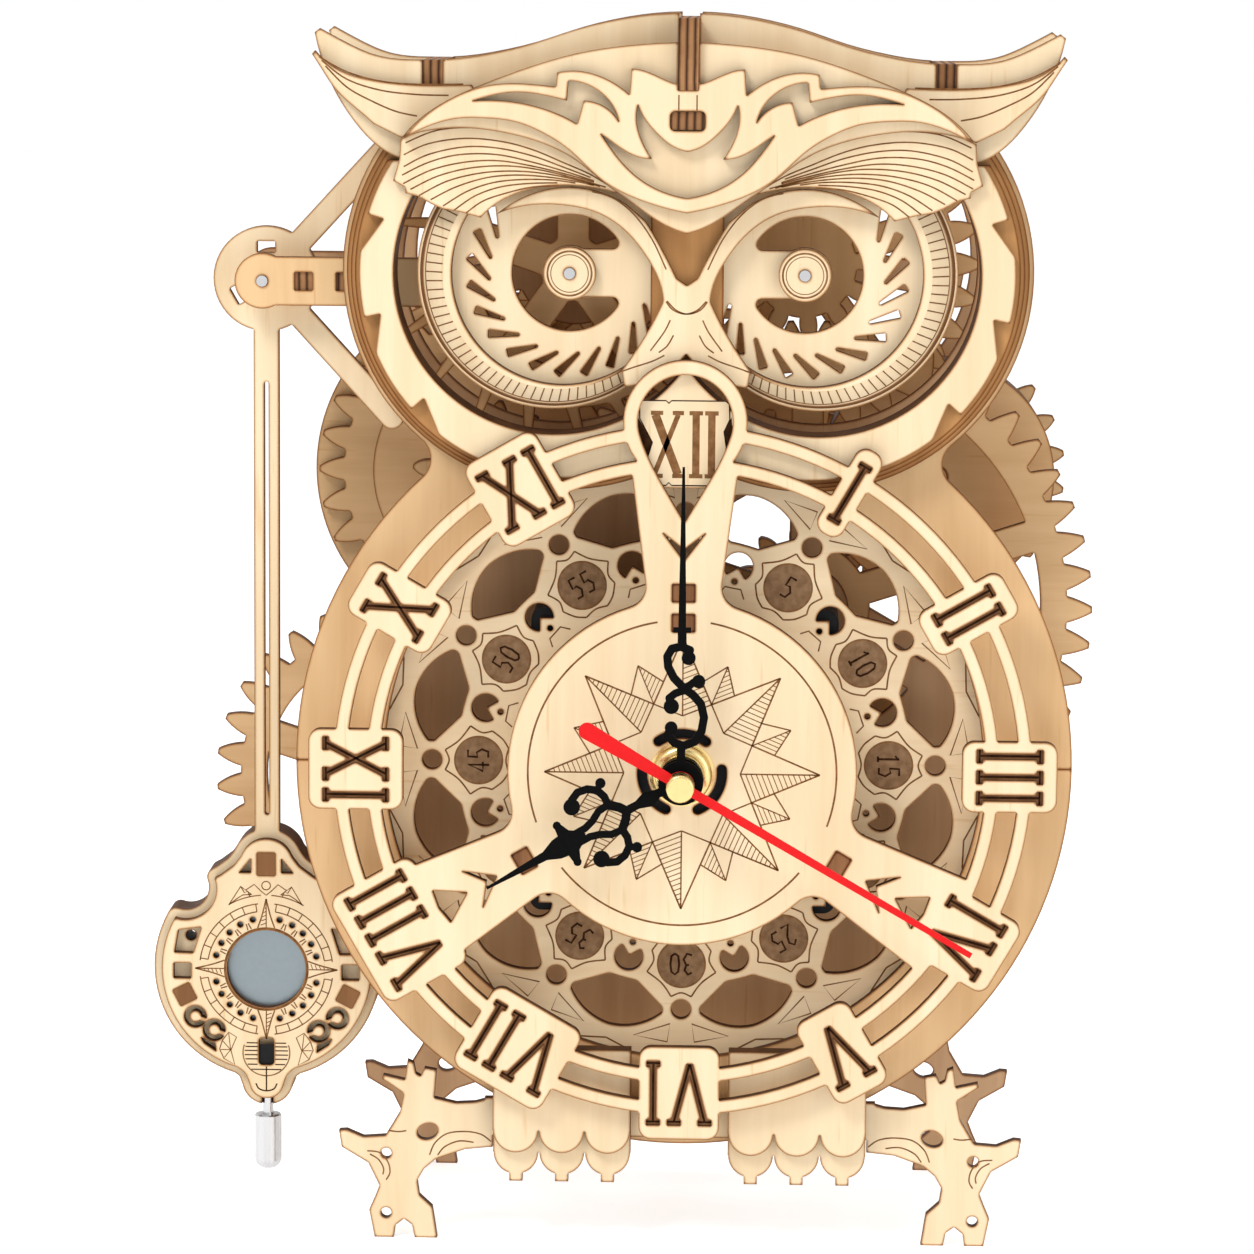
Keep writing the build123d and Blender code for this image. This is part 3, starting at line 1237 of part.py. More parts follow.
def pillar(turn):
    """Cross-section of one pillar on the pillar circle."""
    return Rot(0, 0, turn) * Pos(PILLAR_CIRCLE_R, 0) * bar(PILLAR_W, PILLAR_H)


with BuildPart() as frame_pillars:
    with BuildSketch(face(DEPTH_RING)):
        for turn in FRONT_PILLAR_TURNS:
            add(pillar(turn))
    extrude(amount=-(DEPTH_MID - DEPTH_RING))
    with BuildSketch(face(DEPTH_MID + SHEET)):
        for turn in BACK_PILLAR_TURNS:
            add(pillar(turn))
    extrude(amount=-(DEPTH_BACK - DEPTH_MID - SHEET))
    with BuildSketch(face(DEPTH_CROWN_BACK + SHEET)):
        with Locations((-CROWN_PILLAR_X, CROWN_PILLAR_HEIGHT)):
            Rectangle(PILLAR_H, PILLAR_W)
    extrude(amount=-(DEPTH_BACK - DEPTH_CROWN_BACK - SHEET))
frame_pillars.part.label = "frame_pillars"


# Wheels
def wheel_windows(teeth, hub_r, spokes):
    """Windows between the spokes of a wheel."""
    rim_r = MODULE * (teeth / 2 - ROOT_FACTOR) - RIM_W
    return spoke_gaps(rim_r, hub_r, spokes)


def pinned(place, turned):
    """Sketch moved to an arbor, with the arbor's bore cut out."""
    return Pos(*place) * (turned - disc(AXLE_R + WHEEL_BORE_GAP))


def arbor(place, front, back, pinion=None):
    """Steel arbor, with its wooden pinion as a second solid where it has one."""
    with BuildPart() as made:
        with BuildSketch(face(front)):
            with Locations(place):
                Circle(AXLE_R)
        extrude(amount=front - back)
        if pinion is not None:
            teeth, phase, depth = pinion
            with BuildSketch(face(depth)):
                add(pinned(place, gear_outline(teeth, phase)))
            extrude(amount=-PINION_T)
    return made.part


EYE_ARBOR_FRONT = DEPTH_CROWN - ARBOR_STAND
ARBOR_BACK = DEPTH_BACK + SHEET + ARBOR_STAND
with BuildPart() as great_wheel:
    with BuildSketch(face(DEPTH_GREAT)):
        windows = wheel_windows(GREAT_TEETH, 2 * HUB_R, WHEEL_SPOKES)
        add(pinned(GREAT, gear_outline(GREAT_TEETH, GREAT_PHASE) - windows))
    extrude(amount=-SHEET)
great_wheel.part.label = "great_wheel"
with BuildPart() as great_arbor:
    add(arbor(GREAT, DEPTH_MID, ARBOR_BACK, (GREAT_PINION_TEETH, GREAT_PINION_PHASE, DEPTH_GREAT_PINION)))
great_arbor.part.label = "great_arbor"
with BuildPart() as right_eye_wheel:
    with BuildSketch(face(DEPTH_EYE_WHEEL)):
        windows = wheel_windows(EYE_WHEEL_TEETH, HUB_R, WHEEL_SPOKES)
        add(pinned(RIGHT_EYE, gear_outline(EYE_WHEEL_TEETH, EYE_WHEEL_PHASE) - windows))
    extrude(amount=-SHEET)
right_eye_wheel.part.label = "right_eye_wheel"
with BuildPart() as right_eye_arbor:
    eye_pinion = (EYE_PINION_TEETH, EYE_PINION_PHASE, DEPTH_GREAT_MESH)
    add(arbor(RIGHT_EYE, EYE_ARBOR_FRONT, ARBOR_BACK, eye_pinion))
right_eye_arbor.part.label = "right_eye_arbor"
blade_base_r = ESCAPE_R - ESCAPE_BLADE_L
escape_windows = spoke_gaps(blade_base_r - RIM_W, HUB_R, WHEEL_SPOKES)
blade_l = ESCAPE_BLADE_L / cos(radians(ESCAPE_LEAN))
blade_points = [
    (-blade_l / 4, -ESCAPE_BLADE_W / 2),
    (blade_l, -ESCAPE_BLADE_W / 4),
    (blade_l, ESCAPE_BLADE_W / 4),
    (-blade_l / 4, ESCAPE_BLADE_W / 2),
]
with BuildPart() as escape_wheel:
    with BuildSketch(face(DEPTH_PENDULUM)):
        with Locations(LEFT_EYE):
            Circle(blade_base_r)
        for index in range(ESCAPE_TEETH):
            root = Pos(*LEFT_EYE) * Rot(0, 0, index * 360 / ESCAPE_TEETH) * Pos(blade_base_r, 0)
            add(root * Rot(0, 0, ESCAPE_LEAN) * plate(blade_points))
        add(Pos(*LEFT_EYE) * escape_windows, mode=Mode.SUBTRACT)
        with Locations(LEFT_EYE):
            Circle(AXLE_R + WHEEL_BORE_GAP, mode=Mode.SUBTRACT)
    extrude(amount=-SHEET)
escape_wheel.part.label = "escape_wheel"
with BuildPart() as left_eye_arbor:
    pinion_depth = DEPTH_EYE_WHEEL - (PINION_T - SHEET) / 2
    escape_pinion = (ESCAPE_PINION_TEETH, ESCAPE_PINION_PHASE, pinion_depth)
    add(arbor(LEFT_EYE, EYE_ARBOR_FRONT, ARBOR_BACK, escape_pinion))
left_eye_arbor.part.label = "left_eye_arbor"
with BuildPart() as side_upper_wheel:
    with BuildSketch(face(DEPTH_SIDE)):
        add(pinned(SIDE_UPPER, gear_outline(SIDE_TEETH, SIDE_PHASE)))
    extrude(amount=-SHEET)
    with BuildSketch(face(DEPTH_SIDE - SHEET)):
        add(pinned(SIDE_UPPER, disc(SIDE_FACE_R)))
    extrude(amount=-SHEET)
    with BuildSketch(face(DEPTH_SIDE + SHEET)):
        add(pinned(SIDE_UPPER, disc(HUB_R)))
    extrude(amount=-FLANGE_STAND)
    with BuildSketch(face(DEPTH_SIDE + SHEET + FLANGE_STAND)):
        add(pinned(SIDE_UPPER, disc(SIDE_FLANGE_R)))
    extrude(amount=-SHEET)
side_upper_wheel.part.label = "side_upper_wheel"
with BuildPart() as side_upper_arbor:
    add(arbor(SIDE_UPPER, DEPTH_MID, ARBOR_BACK, (SIDE_PINION_TEETH, SIDE_PINION_PHASE, DEPTH_GREAT_MESH)))
side_upper_arbor.part.label = "side_upper_arbor"
with BuildPart() as side_lower_wheel:
    with BuildSketch(face(DEPTH_SIDE)):
        windows = wheel_windows(SIDE_TEETH, HUB_R, WHEEL_SPOKES)
        add(pinned(SIDE_LOWER, gear_outline(SIDE_TEETH, SIDE_LOWER_PHASE) - windows))
    extrude(amount=-SHEET)
side_lower_wheel.part.label = "side_lower_wheel"
with BuildPart() as side_lower_arbor:
    add(arbor(SIDE_LOWER, DEPTH_MID, ARBOR_BACK))
side_lower_arbor.part.label = "side_lower_arbor"

# Barrel: spring case, coiled spring, toothed cover and the key that winds it
with BuildPart() as spring_case:
    with BuildSketch(face(CASE_DEPTH)):
        with Locations(BARREL):
            Circle(CASE_R)
            Circle(KEY_STEM_R + SHAFT_GAP, mode=Mode.SUBTRACT)
    extrude(amount=CASE_DEPTH - DEPTH_BARREL)
    with BuildSketch(face(CASE_DEPTH + CASE_WALL)):
        with Locations(BARREL):
            Circle(CASE_R - CASE_WALL)
    extrude(amount=CASE_DEPTH + CASE_WALL - DEPTH_BARREL, mode=Mode.SUBTRACT)
spring_case.part.label = "spring_case"
with BuildPart() as barrel_wheel:
    with BuildSketch(face(DEPTH_BARREL)):
        add(Pos(*BARREL) * (gear_outline(BARREL_TEETH, BARREL_PHASE) - disc(KEY_STEM_R + SHAFT_GAP)))
    extrude(amount=-SHEET)
barrel_wheel.part.label = "barrel_wheel"


def spiral(start_r, turns):
    """Points of a spiral about the local origin, eight to a turn."""
    steps = 8 * turns + 1
    return [at(start_r + SPRING_PITCH * index / 8, 360 * index / 8) for index in range(steps)]


with BuildPart() as mainspring:
    inner = [(BARREL[0] + x, BARREL[1] + z) for x, z in spiral(SPRING_START_R, SPRING_TURNS)]
    outer = [(BARREL[0] + x, BARREL[1] + z) for x, z in spiral(SPRING_START_R + SPRING_T, SPRING_TURNS)]
    with BuildSketch(face(CASE_DEPTH + CASE_WALL + FREE_GAP)):
        with BuildLine():
            Spline(*inner)
            Spline(*outer)
            Line(inner[0], outer[0])
            Line(inner[-1], outer[-1])
        make_face()
    extrude(amount=CASE_DEPTH + CASE_WALL + 2 * FREE_GAP - DEPTH_BARREL)
mainspring.part.label = "mainspring"
with BuildPart() as winding_key:
    with BuildSketch(face(CASE_DEPTH - FREE_GAP)):
        with Locations(BARREL):
            Circle(KEY_STEM_R)
    extrude(amount=CASE_DEPTH - FREE_GAP - KEY_DEPTH - KEY_H / 2)
    with BuildSketch(face(CASE_DEPTH + CASE_WALL + FREE_GAP)):
        with Locations(BARREL):
            Circle(SPRING_START_R - FREE_GAP)
    extrude(amount=CASE_DEPTH + CASE_WALL + 2 * FREE_GAP - DEPTH_BARREL)
    key_place = (AXIS_X + BARREL[0], FACE_Y + KEY_DEPTH, DIAL_HEIGHT + BARREL[1])
    with BuildSketch(Plane(origin=key_place, x_dir=(1, 0, 0), z_dir=(0, 0, 1))):
        wing_x = (KEY_W - KEY_H) / 2
        with Locations((-wing_x, KEY_H / 2), (wing_x, KEY_H / 2)):
            Circle(KEY_H / 2)
        with Locations((0, KEY_H / 2)):
            Rectangle(2 * wing_x, KEY_H / 2)
        with Locations((-wing_x, KEY_H / 2), (wing_x, KEY_H / 2)):
            Circle(KEY_HOLE_R, mode=Mode.SUBTRACT)
    extrude(amount=KEY_T / 2, both=True)
winding_key.part.label = "winding_key"

# Pendulum
with BuildPart() as pendulum_bracket:
    with BuildSketch(face(DEPTH_RING)):
        with Locations((PIVOT_X + BRACKET_REACH / 2, PIVOT_HEIGHT)):
            Rectangle(BRACKET_REACH, BRACKET_H)
        with Locations(PIVOT):
            Circle(BRACKET_R)
            Circle(AXLE_R + SHAFT_GAP, mode=Mode.SUBTRACT)
        for step in (1, 2):
            with Locations((PIVOT_X + step * BRACKET_R * 3 / 2, PIVOT_HEIGHT)):
                Rectangle(TAB_H, TAB_H, mode=Mode.SUBTRACT)
    extrude(amount=-SHEET)
pendulum_bracket.part.label = "pendulum_bracket"
with BuildSketch() as bob_front_outline:
    Circle(BOB_R)
    add(filled_pair(BOB_NECK_SHARES, BOB_R))
    add(filled_pair(BOB_TIP_SHARES, BOB_R))
    offset(amount=BOB_BLEND_R)
    offset(amount=-BOB_BLEND_R)
    with Locations((BOB_NOTCH_SHARE[0] * BOB_R, BOB_NOTCH_SHARE[1] * BOB_R)):
        Circle(BOB_NOTCH_R, mode=Mode.SUBTRACT)
with BuildSketch() as bob_back_outline:
    add(bob_front_outline.sketch)
    offset(amount=BOB_BACK_R - BOB_R)


def bob_tabs(gap=0.0):
    """Three tenons of the bob core, about the bob's centre."""
    x, z = BOB_SIDE_TAB_SHARE
    tabs = Pos(0, BOB_TAB_TOP_SHARE * BOB_R) * bar(BOB_TAB_W + 2 * gap, BOB_TAB_H + 2 * gap)
    for flip in (-1, 1):
        turned = Rot(0, 0, -flip * BOB_TAB_LEAN) * bar(BOB_TAB_W + 2 * gap, BOB_TAB_W + 2 * gap)
        tabs += Pos(flip * x * BOB_R, z * BOB_R) * turned
    return tabs


def curl(place, start, flip):
    """Curled slot round a small boss."""
    ring = disc(BOB_CURL_R) - disc(BOB_CURL_R / 2)
    gap = Rot(0, 0, start) * Pos(BOB_CURL_R, 0) * bar(BOB_CURL_R * 5 / 4, BOB_CURL_R / 3)
    shape = ring - gap
    shape = shape if flip > 0 else mirrored(shape)
    return Pos(*place) * shape


with BuildSketch() as bob_cuts:
    Circle(BOB_BORE_R)
    for dot in range(BOB_DOT_COUNT):
        quarter = 45 + 90 * (dot // 5)
        with Locations(at(BOB_DOT_CIRCLE_R, quarter + BOB_DOT_STEP * (dot % 5 - 2))):
            Circle(BOB_DOT_R)
    add(bob_tabs())
    for flip in (-1, 1):
        for shares in (BOB_HORN_SHARES, BOB_UPPER_WINDOW_SHARES, BOB_LOWER_WINDOW_SHARES, BOB_LEAF_SHARES):
            add(plate([(flip * x * BOB_R, z * BOB_R) for x, z in shares]))
        for (x, z), start in zip(BOB_CURL_SHARES, BOB_CURL_TURNS):
            add(curl((flip * x * BOB_R, z * BOB_R), start, flip))
    with Locations((0, BOB_SLOT_SHARE * BOB_R)):
        RectangleRounded(BOB_SLOT_W, BOB_SLOT_H, BOB_SLOT_W / 4)
bob_hole = (BOB[0] + BOB_HOLE_SHARE[0] * BOB_R, BOB[1] + BOB_HOLE_SHARE[1] * BOB_R)
with BuildPart() as bob_front:
    with BuildSketch(face(DEPTH_PENDULUM - SHEET)):
        with Locations(BOB):
            add(bob_front_outline.sketch)
            add(bob_cuts.sketch, mode=Mode.SUBTRACT)
    extrude(amount=-SHEET)
bob_front.part.label = "bob_front"
with BuildPart() as bob_core:
    with BuildSketch(face(DEPTH_PENDULUM + SHEET)):
        with Locations(BOB):
            add(bob_back_outline.sketch)
        with Locations(bob_hole):
            Circle(BOB_HOLE_R, mode=Mode.SUBTRACT)
    extrude(amount=-BOB_CORE_T)
    with BuildSketch(face(DEPTH_PENDULUM - SHEET)):
        add(Pos(*BOB) * bob_tabs(-SHAFT_GAP))
    extrude(amount=-2 * SHEET)
bob_core.part.label = "bob_core"
with BuildPart() as bob_disc:
    with BuildSketch(face(DEPTH_PENDULUM)):
        with Locations(BOB):
            Circle(BOB_DISC_R)
    extrude(amount=-SHEET)
bob_disc.part.label = "bob_disc"


def limb(start, end, width):
    """A bar with round ends."""
    length = hypot(end[0] - start[0], end[1] - start[1])
    middle = ((start[0] + end[0]) / 2, (start[1] + end[1]) / 2)
    straight = Pos(*middle) * Rot(0, 0, direction(start, end)) * bar(length, width)
    return straight + Pos(*start) * disc(width / 2) + Pos(*end) * disc(width / 2)


rod_low = BOB[1] + BOB_R
with BuildPart() as pendulum_rod:
    with BuildSketch(face(DEPTH_PENDULUM)):
        with Locations(BOB):
            add(bob_back_outline.sketch)
        add(limb(PIVOT, (PIVOT_X, rod_low), ROD_W))
        for turn in (ARM_SPREAD, -ARM_SPREAD):
            x, z = at(ARM_REACH, turn)
            add(limb(PIVOT, (PIVOT_X + x, PIVOT_HEIGHT + z), ARM_W))
        with Locations(PIVOT):
            Circle(HEAD_DISC_R)
            Circle(AXLE_R + WHEEL_BORE_GAP, mode=Mode.SUBTRACT)
        for turn in ARM_TURNS:
            hole = Rot(0, 0, turn) * Pos(HEAD_DISC_R * 3 / 5, 0) * bar(SHEET, TAB_H)
            add(Pos(*PIVOT) * hole, mode=Mode.SUBTRACT)
        slot_top = PIVOT_HEIGHT - 2 * HEAD_DISC_R
        slot_low = rod_low + HEAD_DISC_R
        add(limb((PIVOT_X, slot_top), (PIVOT_X, slot_low), ROD_SLOT_W), mode=Mode.SUBTRACT)
        with Locations(BOB):
            Circle(BOB_DISC_R + SHAFT_GAP, mode=Mode.SUBTRACT)
        add(Pos(*BOB) * bob_tabs(), mode=Mode.SUBTRACT)
        with Locations(bob_hole):
            Circle(BOB_HOLE_R, mode=Mode.SUBTRACT)
        with Locations((PIVOT_X, BOB[1] - BOB_TIP_DROP)):
            Rectangle(2 * RATING_ROD_R + 2 * SHAFT_GAP, 2 * RATING_GRIP_L, mode=Mode.SUBTRACT)
    extrude(amount=-SHEET)
pendulum_rod.part.label = "pendulum_rod"
with BuildPart() as pendulum_arbor:
    add(arbor(PIVOT, DEPTH_RING - ARBOR_STAND, DEPTH_MID + SHEET + ARBOR_STAND))
pendulum_arbor.part.label = "pendulum_arbor"
rating_top = BOB[1] - BOB_TIP_DROP + RATING_GRIP_L - SHAFT_GAP
weight_top = BOB[1] - WEIGHT_DROP


def upright(height):
    """A level plane at the rating rod, local x and y are +X and +Y."""
    place = (AXIS_X + PIVOT_X, FACE_Y + DEPTH_PENDULUM + SHEET / 2, DIAL_HEIGHT + height)
    return Plane(origin=place, x_dir=(1, 0, 0), z_dir=(0, 0, 1))


with BuildPart() as rating_rod:
    with BuildSketch(upright(rating_top)):
        Circle(RATING_ROD_R)
    extrude(amount=-RATING_ROD_L)
rating_rod.part.label = "rating_rod"
with BuildPart() as rating_weight:
    with BuildSketch(upright(weight_top)):
        Circle(WEIGHT_R)
    extrude(amount=-WEIGHT_L)
    low_edge = rating_weight.edges().sort_by(Axis.Z)[0]
    fillet(low_edge, WEIGHT_R * 4 / 5)
    chamfer(rating_weight.edges().sort_by(Axis.Z)[-1], WEIGHT_R / 10)
    with BuildSketch(upright(weight_top)):
        Circle(RATING_ROD_R + SHAFT_GAP)
    extrude(amount=WEIGHT_R * 3 / 5 - WEIGHT_L, mode=Mode.SUBTRACT)
rating_weight.part.label = "rating_weight"

# Quartz movement
battery_centre_depth = DEPTH_RING + SHEET + MOVEMENT_WALL + SEAT_GAP + BATTERY_R
with BuildPart() as movement_case:
    with BuildSketch(face(DEPTH_RING + SHEET)):
        RectangleRounded(MOVEMENT_W, MOVEMENT_W, CARTOUCHE_CORNER)
    extrude(amount=-MOVEMENT_T)
    bay_w = 2 * BATTERY_R + 2 * SEAT_GAP
    with BuildSketch(face(DEPTH_RING + SHEET + MOVEMENT_WALL)):
        with Locations((0, -BATTERY_DROP)):
            Rectangle(BATTERY_L + 2 * SEAT_GAP, bay_w)
    extrude(amount=-MOVEMENT_T, mode=Mode.SUBTRACT)
    with BuildSketch(face(DEPTH_RING + SHEET)):
        Circle(STEM_R + SHAFT_GAP)
    extrude(amount=-STEM_SEAT_L, mode=Mode.SUBTRACT)
    with BuildSketch(face(DEPTH_RING + SHEET + MOVEMENT_T)):
        with Locations((KNOB_X, KNOB_HEIGHT)):
            Circle(AXLE_R + SHAFT_GAP)
    extrude(amount=KNOB_SHAFT_L + FREE_GAP, mode=Mode.SUBTRACT)
movement_case.part.label = "movement_case"
with BuildPart() as movement_stem:
    with BuildSketch(face(-STEM_REACH)):
        Circle(STEM_R)
        Circle(HOUR_TUBE_R + RUN_GAP, mode=Mode.SUBTRACT)
    extrude(amount=-(STEM_REACH + DEPTH_RING + SHEET + STEM_SEAT_L))
movement_stem.part.label = "movement_stem"
with BuildPart() as stem_nut:
    with BuildSketch(face(DEPTH_DIAL - WASHER_T)):
        Circle(WASHER_R)
        Circle(STEM_R + SHAFT_GAP, mode=Mode.SUBTRACT)
    extrude(amount=-WASHER_T)
    with BuildSketch(face(DEPTH_DIAL - WASHER_T - SHAFT_GAP)):
        Circle(NUT_W / 2)
        Circle(STEM_R + SHAFT_GAP, mode=Mode.SUBTRACT)
    extrude(amount=NUT_T)
    fillet(stem_nut.edges().group_by(Axis.Y)[0].sort_by(SortBy.RADIUS)[-1], NUT_EDGE_R)
stem_nut.part.label = "stem_nut"
with BuildPart() as battery:
    battery_place = (
        AXIS_X - BATTERY_L / 2,
        FACE_Y + battery_centre_depth,
        DIAL_HEIGHT - BATTERY_DROP,
    )
    with BuildSketch(Plane(origin=battery_place, x_dir=(0, 1, 0), z_dir=(1, 0, 0))):
        Circle(BATTERY_R)
    extrude(amount=BATTERY_L - BATTERY_TIP_L)
    with BuildSketch(Plane(origin=battery_place, x_dir=(0, 1, 0), z_dir=(1, 0, 0))):
        Circle(BATTERY_TIP_R)
    extrude(amount=BATTERY_L)
battery.part.label = "battery"
with BuildPart() as setting_knob:
    knob_front = DEPTH_RING + SHEET + MOVEMENT_T + FREE_GAP
    with BuildSketch(face(knob_front)):
        with Locations((KNOB_X, KNOB_HEIGHT)):
            Circle(KNOB_R)
        for index in range(KNOB_FLUTES):
            x, z = at(KNOB_R, 360 / KNOB_FLUTES * index)
            with Locations((KNOB_X + x, KNOB_HEIGHT + z)):
                Circle(RATING_ROD_R / 2, mode=Mode.SUBTRACT)
    extrude(amount=-KNOB_T)
    with BuildSketch(face(knob_front)):
        with Locations((KNOB_X, KNOB_HEIGHT)):
            Circle(AXLE_R)
    extrude(amount=KNOB_SHAFT_L)
setting_knob.part.label = "setting_knob"


# Hands
def hand_sheet(shape, turn):
    """A hand's outline drawn along +Z, turned clockwise from twelve."""
    return Rot(0, 0, -turn) * shape


def scroll_hand(length, blades, runs, dots, sides):
    """Hub, blades, strokes and round dots of a hand, all in shares of its length."""
    shape = disc(HAND_HUB_R) + [plate([(x * length, z * length) for x, z in blade]) for blade in blades]
    for side in sides:
        for width, points in runs:
            places = [(side * x * length, z * length) for x, z in points]
            shape += [stroke(start, end, width * length) for start, end in zip(places, places[1:])]
            shape += [Pos(*place) * disc(width * length / 2) for place in places]
        shape += [Pos(side * x * length, z * length) * disc(radius * length) for x, z, radius in dots]
    return shape


TUBE_BACK = DEPTH_RING + SHEET + STEM_SEAT_L - FREE_GAP


def hand_part(shape, turn, depth, front, tube_r, bore_r=None):
    """Hand sheet on its tube, which runs back into the movement."""
    with BuildPart() as made:
        with BuildSketch(face(depth)):
            add(hand_sheet(shape, turn))
        extrude(amount=-HAND_T)
        with BuildSketch(face(front)):
            Circle(tube_r)
        extrude(amount=front - TUBE_BACK)
        if bore_r is not None:
            with BuildSketch(face(front - OVERRUN)):
                Circle(bore_r)
            extrude(amount=front - TUBE_BACK - 2 * OVERRUN, mode=Mode.SUBTRACT)
    return made.part


hour_blades = (HOUR_STEM_SHARES, HOUR_BLADE_SHARES)
hour_shape = scroll_hand(HOUR_L, hour_blades, HOUR_RUN_SHARES, HOUR_DOT_SHARES, (-1, 1))
minute_blades = (MINUTE_STEM_SHARES, MINUTE_BLADE_SHARES)
minute_shape = scroll_hand(MINUTE_L, minute_blades, MINUTE_RUN_SHARES, MINUTE_DOT_SHARES, (1,))
second_half = [(SECOND_TIP_W / 2, SECOND_L), (SECOND_W / 2, 0), (SECOND_TAIL_W / 2, -SECOND_TAIL_L)]
second_shape = plate(second_half + [(-x, z) for x, z in reversed(second_half)]) + disc(CAP_R)
second_shape += Pos(0, -SECOND_TAIL_L) * disc(SECOND_TAIL_W / 2)
with BuildPart() as hour_hand:
    hour_front = HOUR_DEPTH - HAND_T
    hour_bore_r = MINUTE_TUBE_R + RUN_GAP
    add(hand_part(hour_shape, HOUR_ANGLE, HOUR_DEPTH, hour_front, HOUR_TUBE_R, hour_bore_r))
hour_hand.part.label = "hour_hand"
with BuildPart() as minute_hand:
    minute_front = MINUTE_DEPTH - HAND_T
    minute_bore_r = SECOND_PIN_R + RUN_GAP
    add(hand_part(minute_shape, MINUTE_ANGLE, MINUTE_DEPTH, minute_front, MINUTE_TUBE_R, minute_bore_r))
minute_hand.part.label = "minute_hand"
with BuildPart() as second_hand:
    add(hand_part(second_shape, SECOND_ANGLE, SECOND_DEPTH, HAND_FRONT + HAND_T, SECOND_PIN_R))
second_hand.part.label = "second_hand"
with BuildPart() as hand_cap:
    with BuildSketch(face(HAND_FRONT)):
        Circle(CAP_R)
    extrude(amount=HAND_FRONT - SECOND_DEPTH)
    fillet(hand_cap.edges().sort_by(Axis.Y)[0], HAND_T)
    with BuildSketch(face(SECOND_DEPTH)):
        Circle(SECOND_PIN_R + WHEEL_BORE_GAP)
    extrude(amount=SECOND_DEPTH - HAND_FRONT - HAND_T + WHEEL_BORE_GAP, mode=Mode.SUBTRACT)
hand_cap.part.label = "hand_cap"

os.makedirs("parts", exist_ok=True)
export_step(dial_plate.part, "parts/dial_plate.step")
export_step(twelve_plaque.part, "parts/twelve_plaque.step")
export_step(dial_spacers.part, "parts/dial_spacers.step")
export_step(minute_ring.part, "parts/minute_ring.step")
export_step(body_front_upper.part, "parts/body_front_upper.step")
export_step(body_front_lower.part, "parts/body_front_lower.step")
export_step(head_ring.part, "parts/head_ring.step")
export_step(step_ring_front.part, "parts/step_ring_front.step")
export_step(step_ring_middle.part, "parts/step_ring_middle.step")
export_step(step_ring_back.part, "parts/step_ring_back.step")
export_step(nose_plate.part, "parts/nose_plate.step")
export_step(eye_plate.part, "parts/eye_plate.step")
export_step(eye_bezel_left.part, "parts/eye_bezel_left.step")
export_step(eye_bezel_right.part, "parts/eye_bezel_right.step")
export_step(eye_bushes.part, "parts/eye_bushes.step")
export_step(brows.part, "parts/brows.step")
export_step(ears.part, "parts/ears.step")
export_step(forehead_ornament.part, "parts/forehead_ornament.step")
export_step(forehead_plate.part, "parts/forehead_plate.step")
export_step(crown_front.part, "parts/crown_front.step")
export_step(crown_back.part, "parts/crown_back.step")
export_step(crown_ribs.part, "parts/crown_ribs.step")
export_step(feet_front.part, "parts/feet_front.step")
export_step(feet_back.part, "parts/feet_back.step")
export_step(talons_front.part, "parts/talons_front.step")
export_step(talons_back.part, "parts/talons_back.step")
export_step(mid_frame.part, "parts/mid_frame.step")
export_step(back_frame.part, "parts/back_frame.step")
export_step(frame_pillars.part, "parts/frame_pillars.step")
export_step(great_wheel.part, "parts/great_wheel.step")
export_step(great_arbor.part, "parts/great_arbor.step")
export_step(right_eye_wheel.part, "parts/right_eye_wheel.step")
export_step(right_eye_arbor.part, "parts/right_eye_arbor.step")
export_step(escape_wheel.part, "parts/escape_wheel.step")
export_step(left_eye_arbor.part, "parts/left_eye_arbor.step")
export_step(side_upper_wheel.part, "parts/side_upper_wheel.step")
export_step(side_upper_arbor.part, "parts/side_upper_arbor.step")
export_step(side_lower_wheel.part, "parts/side_lower_wheel.step")
export_step(side_lower_arbor.part, "parts/side_lower_arbor.step")
export_step(spring_case.part, "parts/spring_case.step")
export_step(barrel_wheel.part, "parts/barrel_wheel.step")
export_step(mainspring.part, "parts/mainspring.step")
export_step(winding_key.part, "parts/winding_key.step")
export_step(pendulum_bracket.part, "parts/pendulum_bracket.step")
export_step(bob_front.part, "parts/bob_front.step")
export_step(bob_core.part, "parts/bob_core.step")
export_step(bob_disc.part, "parts/bob_disc.step")
export_step(pendulum_rod.part, "parts/pendulum_rod.step")
export_step(pendulum_arbor.part, "parts/pendulum_arbor.step")
export_step(rating_rod.part, "parts/rating_rod.step")
export_step(rating_weight.part, "parts/rating_weight.step")
export_step(movement_case.part, "parts/movement_case.step")
export_step(movement_stem.part, "parts/movement_stem.step")
export_step(stem_nut.part, "parts/stem_nut.step")
export_step(battery.part, "parts/battery.step")
export_step(setting_knob.part, "parts/setting_knob.step")
export_step(hour_hand.part, "parts/hour_hand.step")
export_step(minute_hand.part, "parts/minute_hand.step")
export_step(second_hand.part, "parts/second_hand.step")
export_step(hand_cap.part, "parts/hand_cap.step")
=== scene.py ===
import math
import bpy
from mathutils import Matrix, Vector


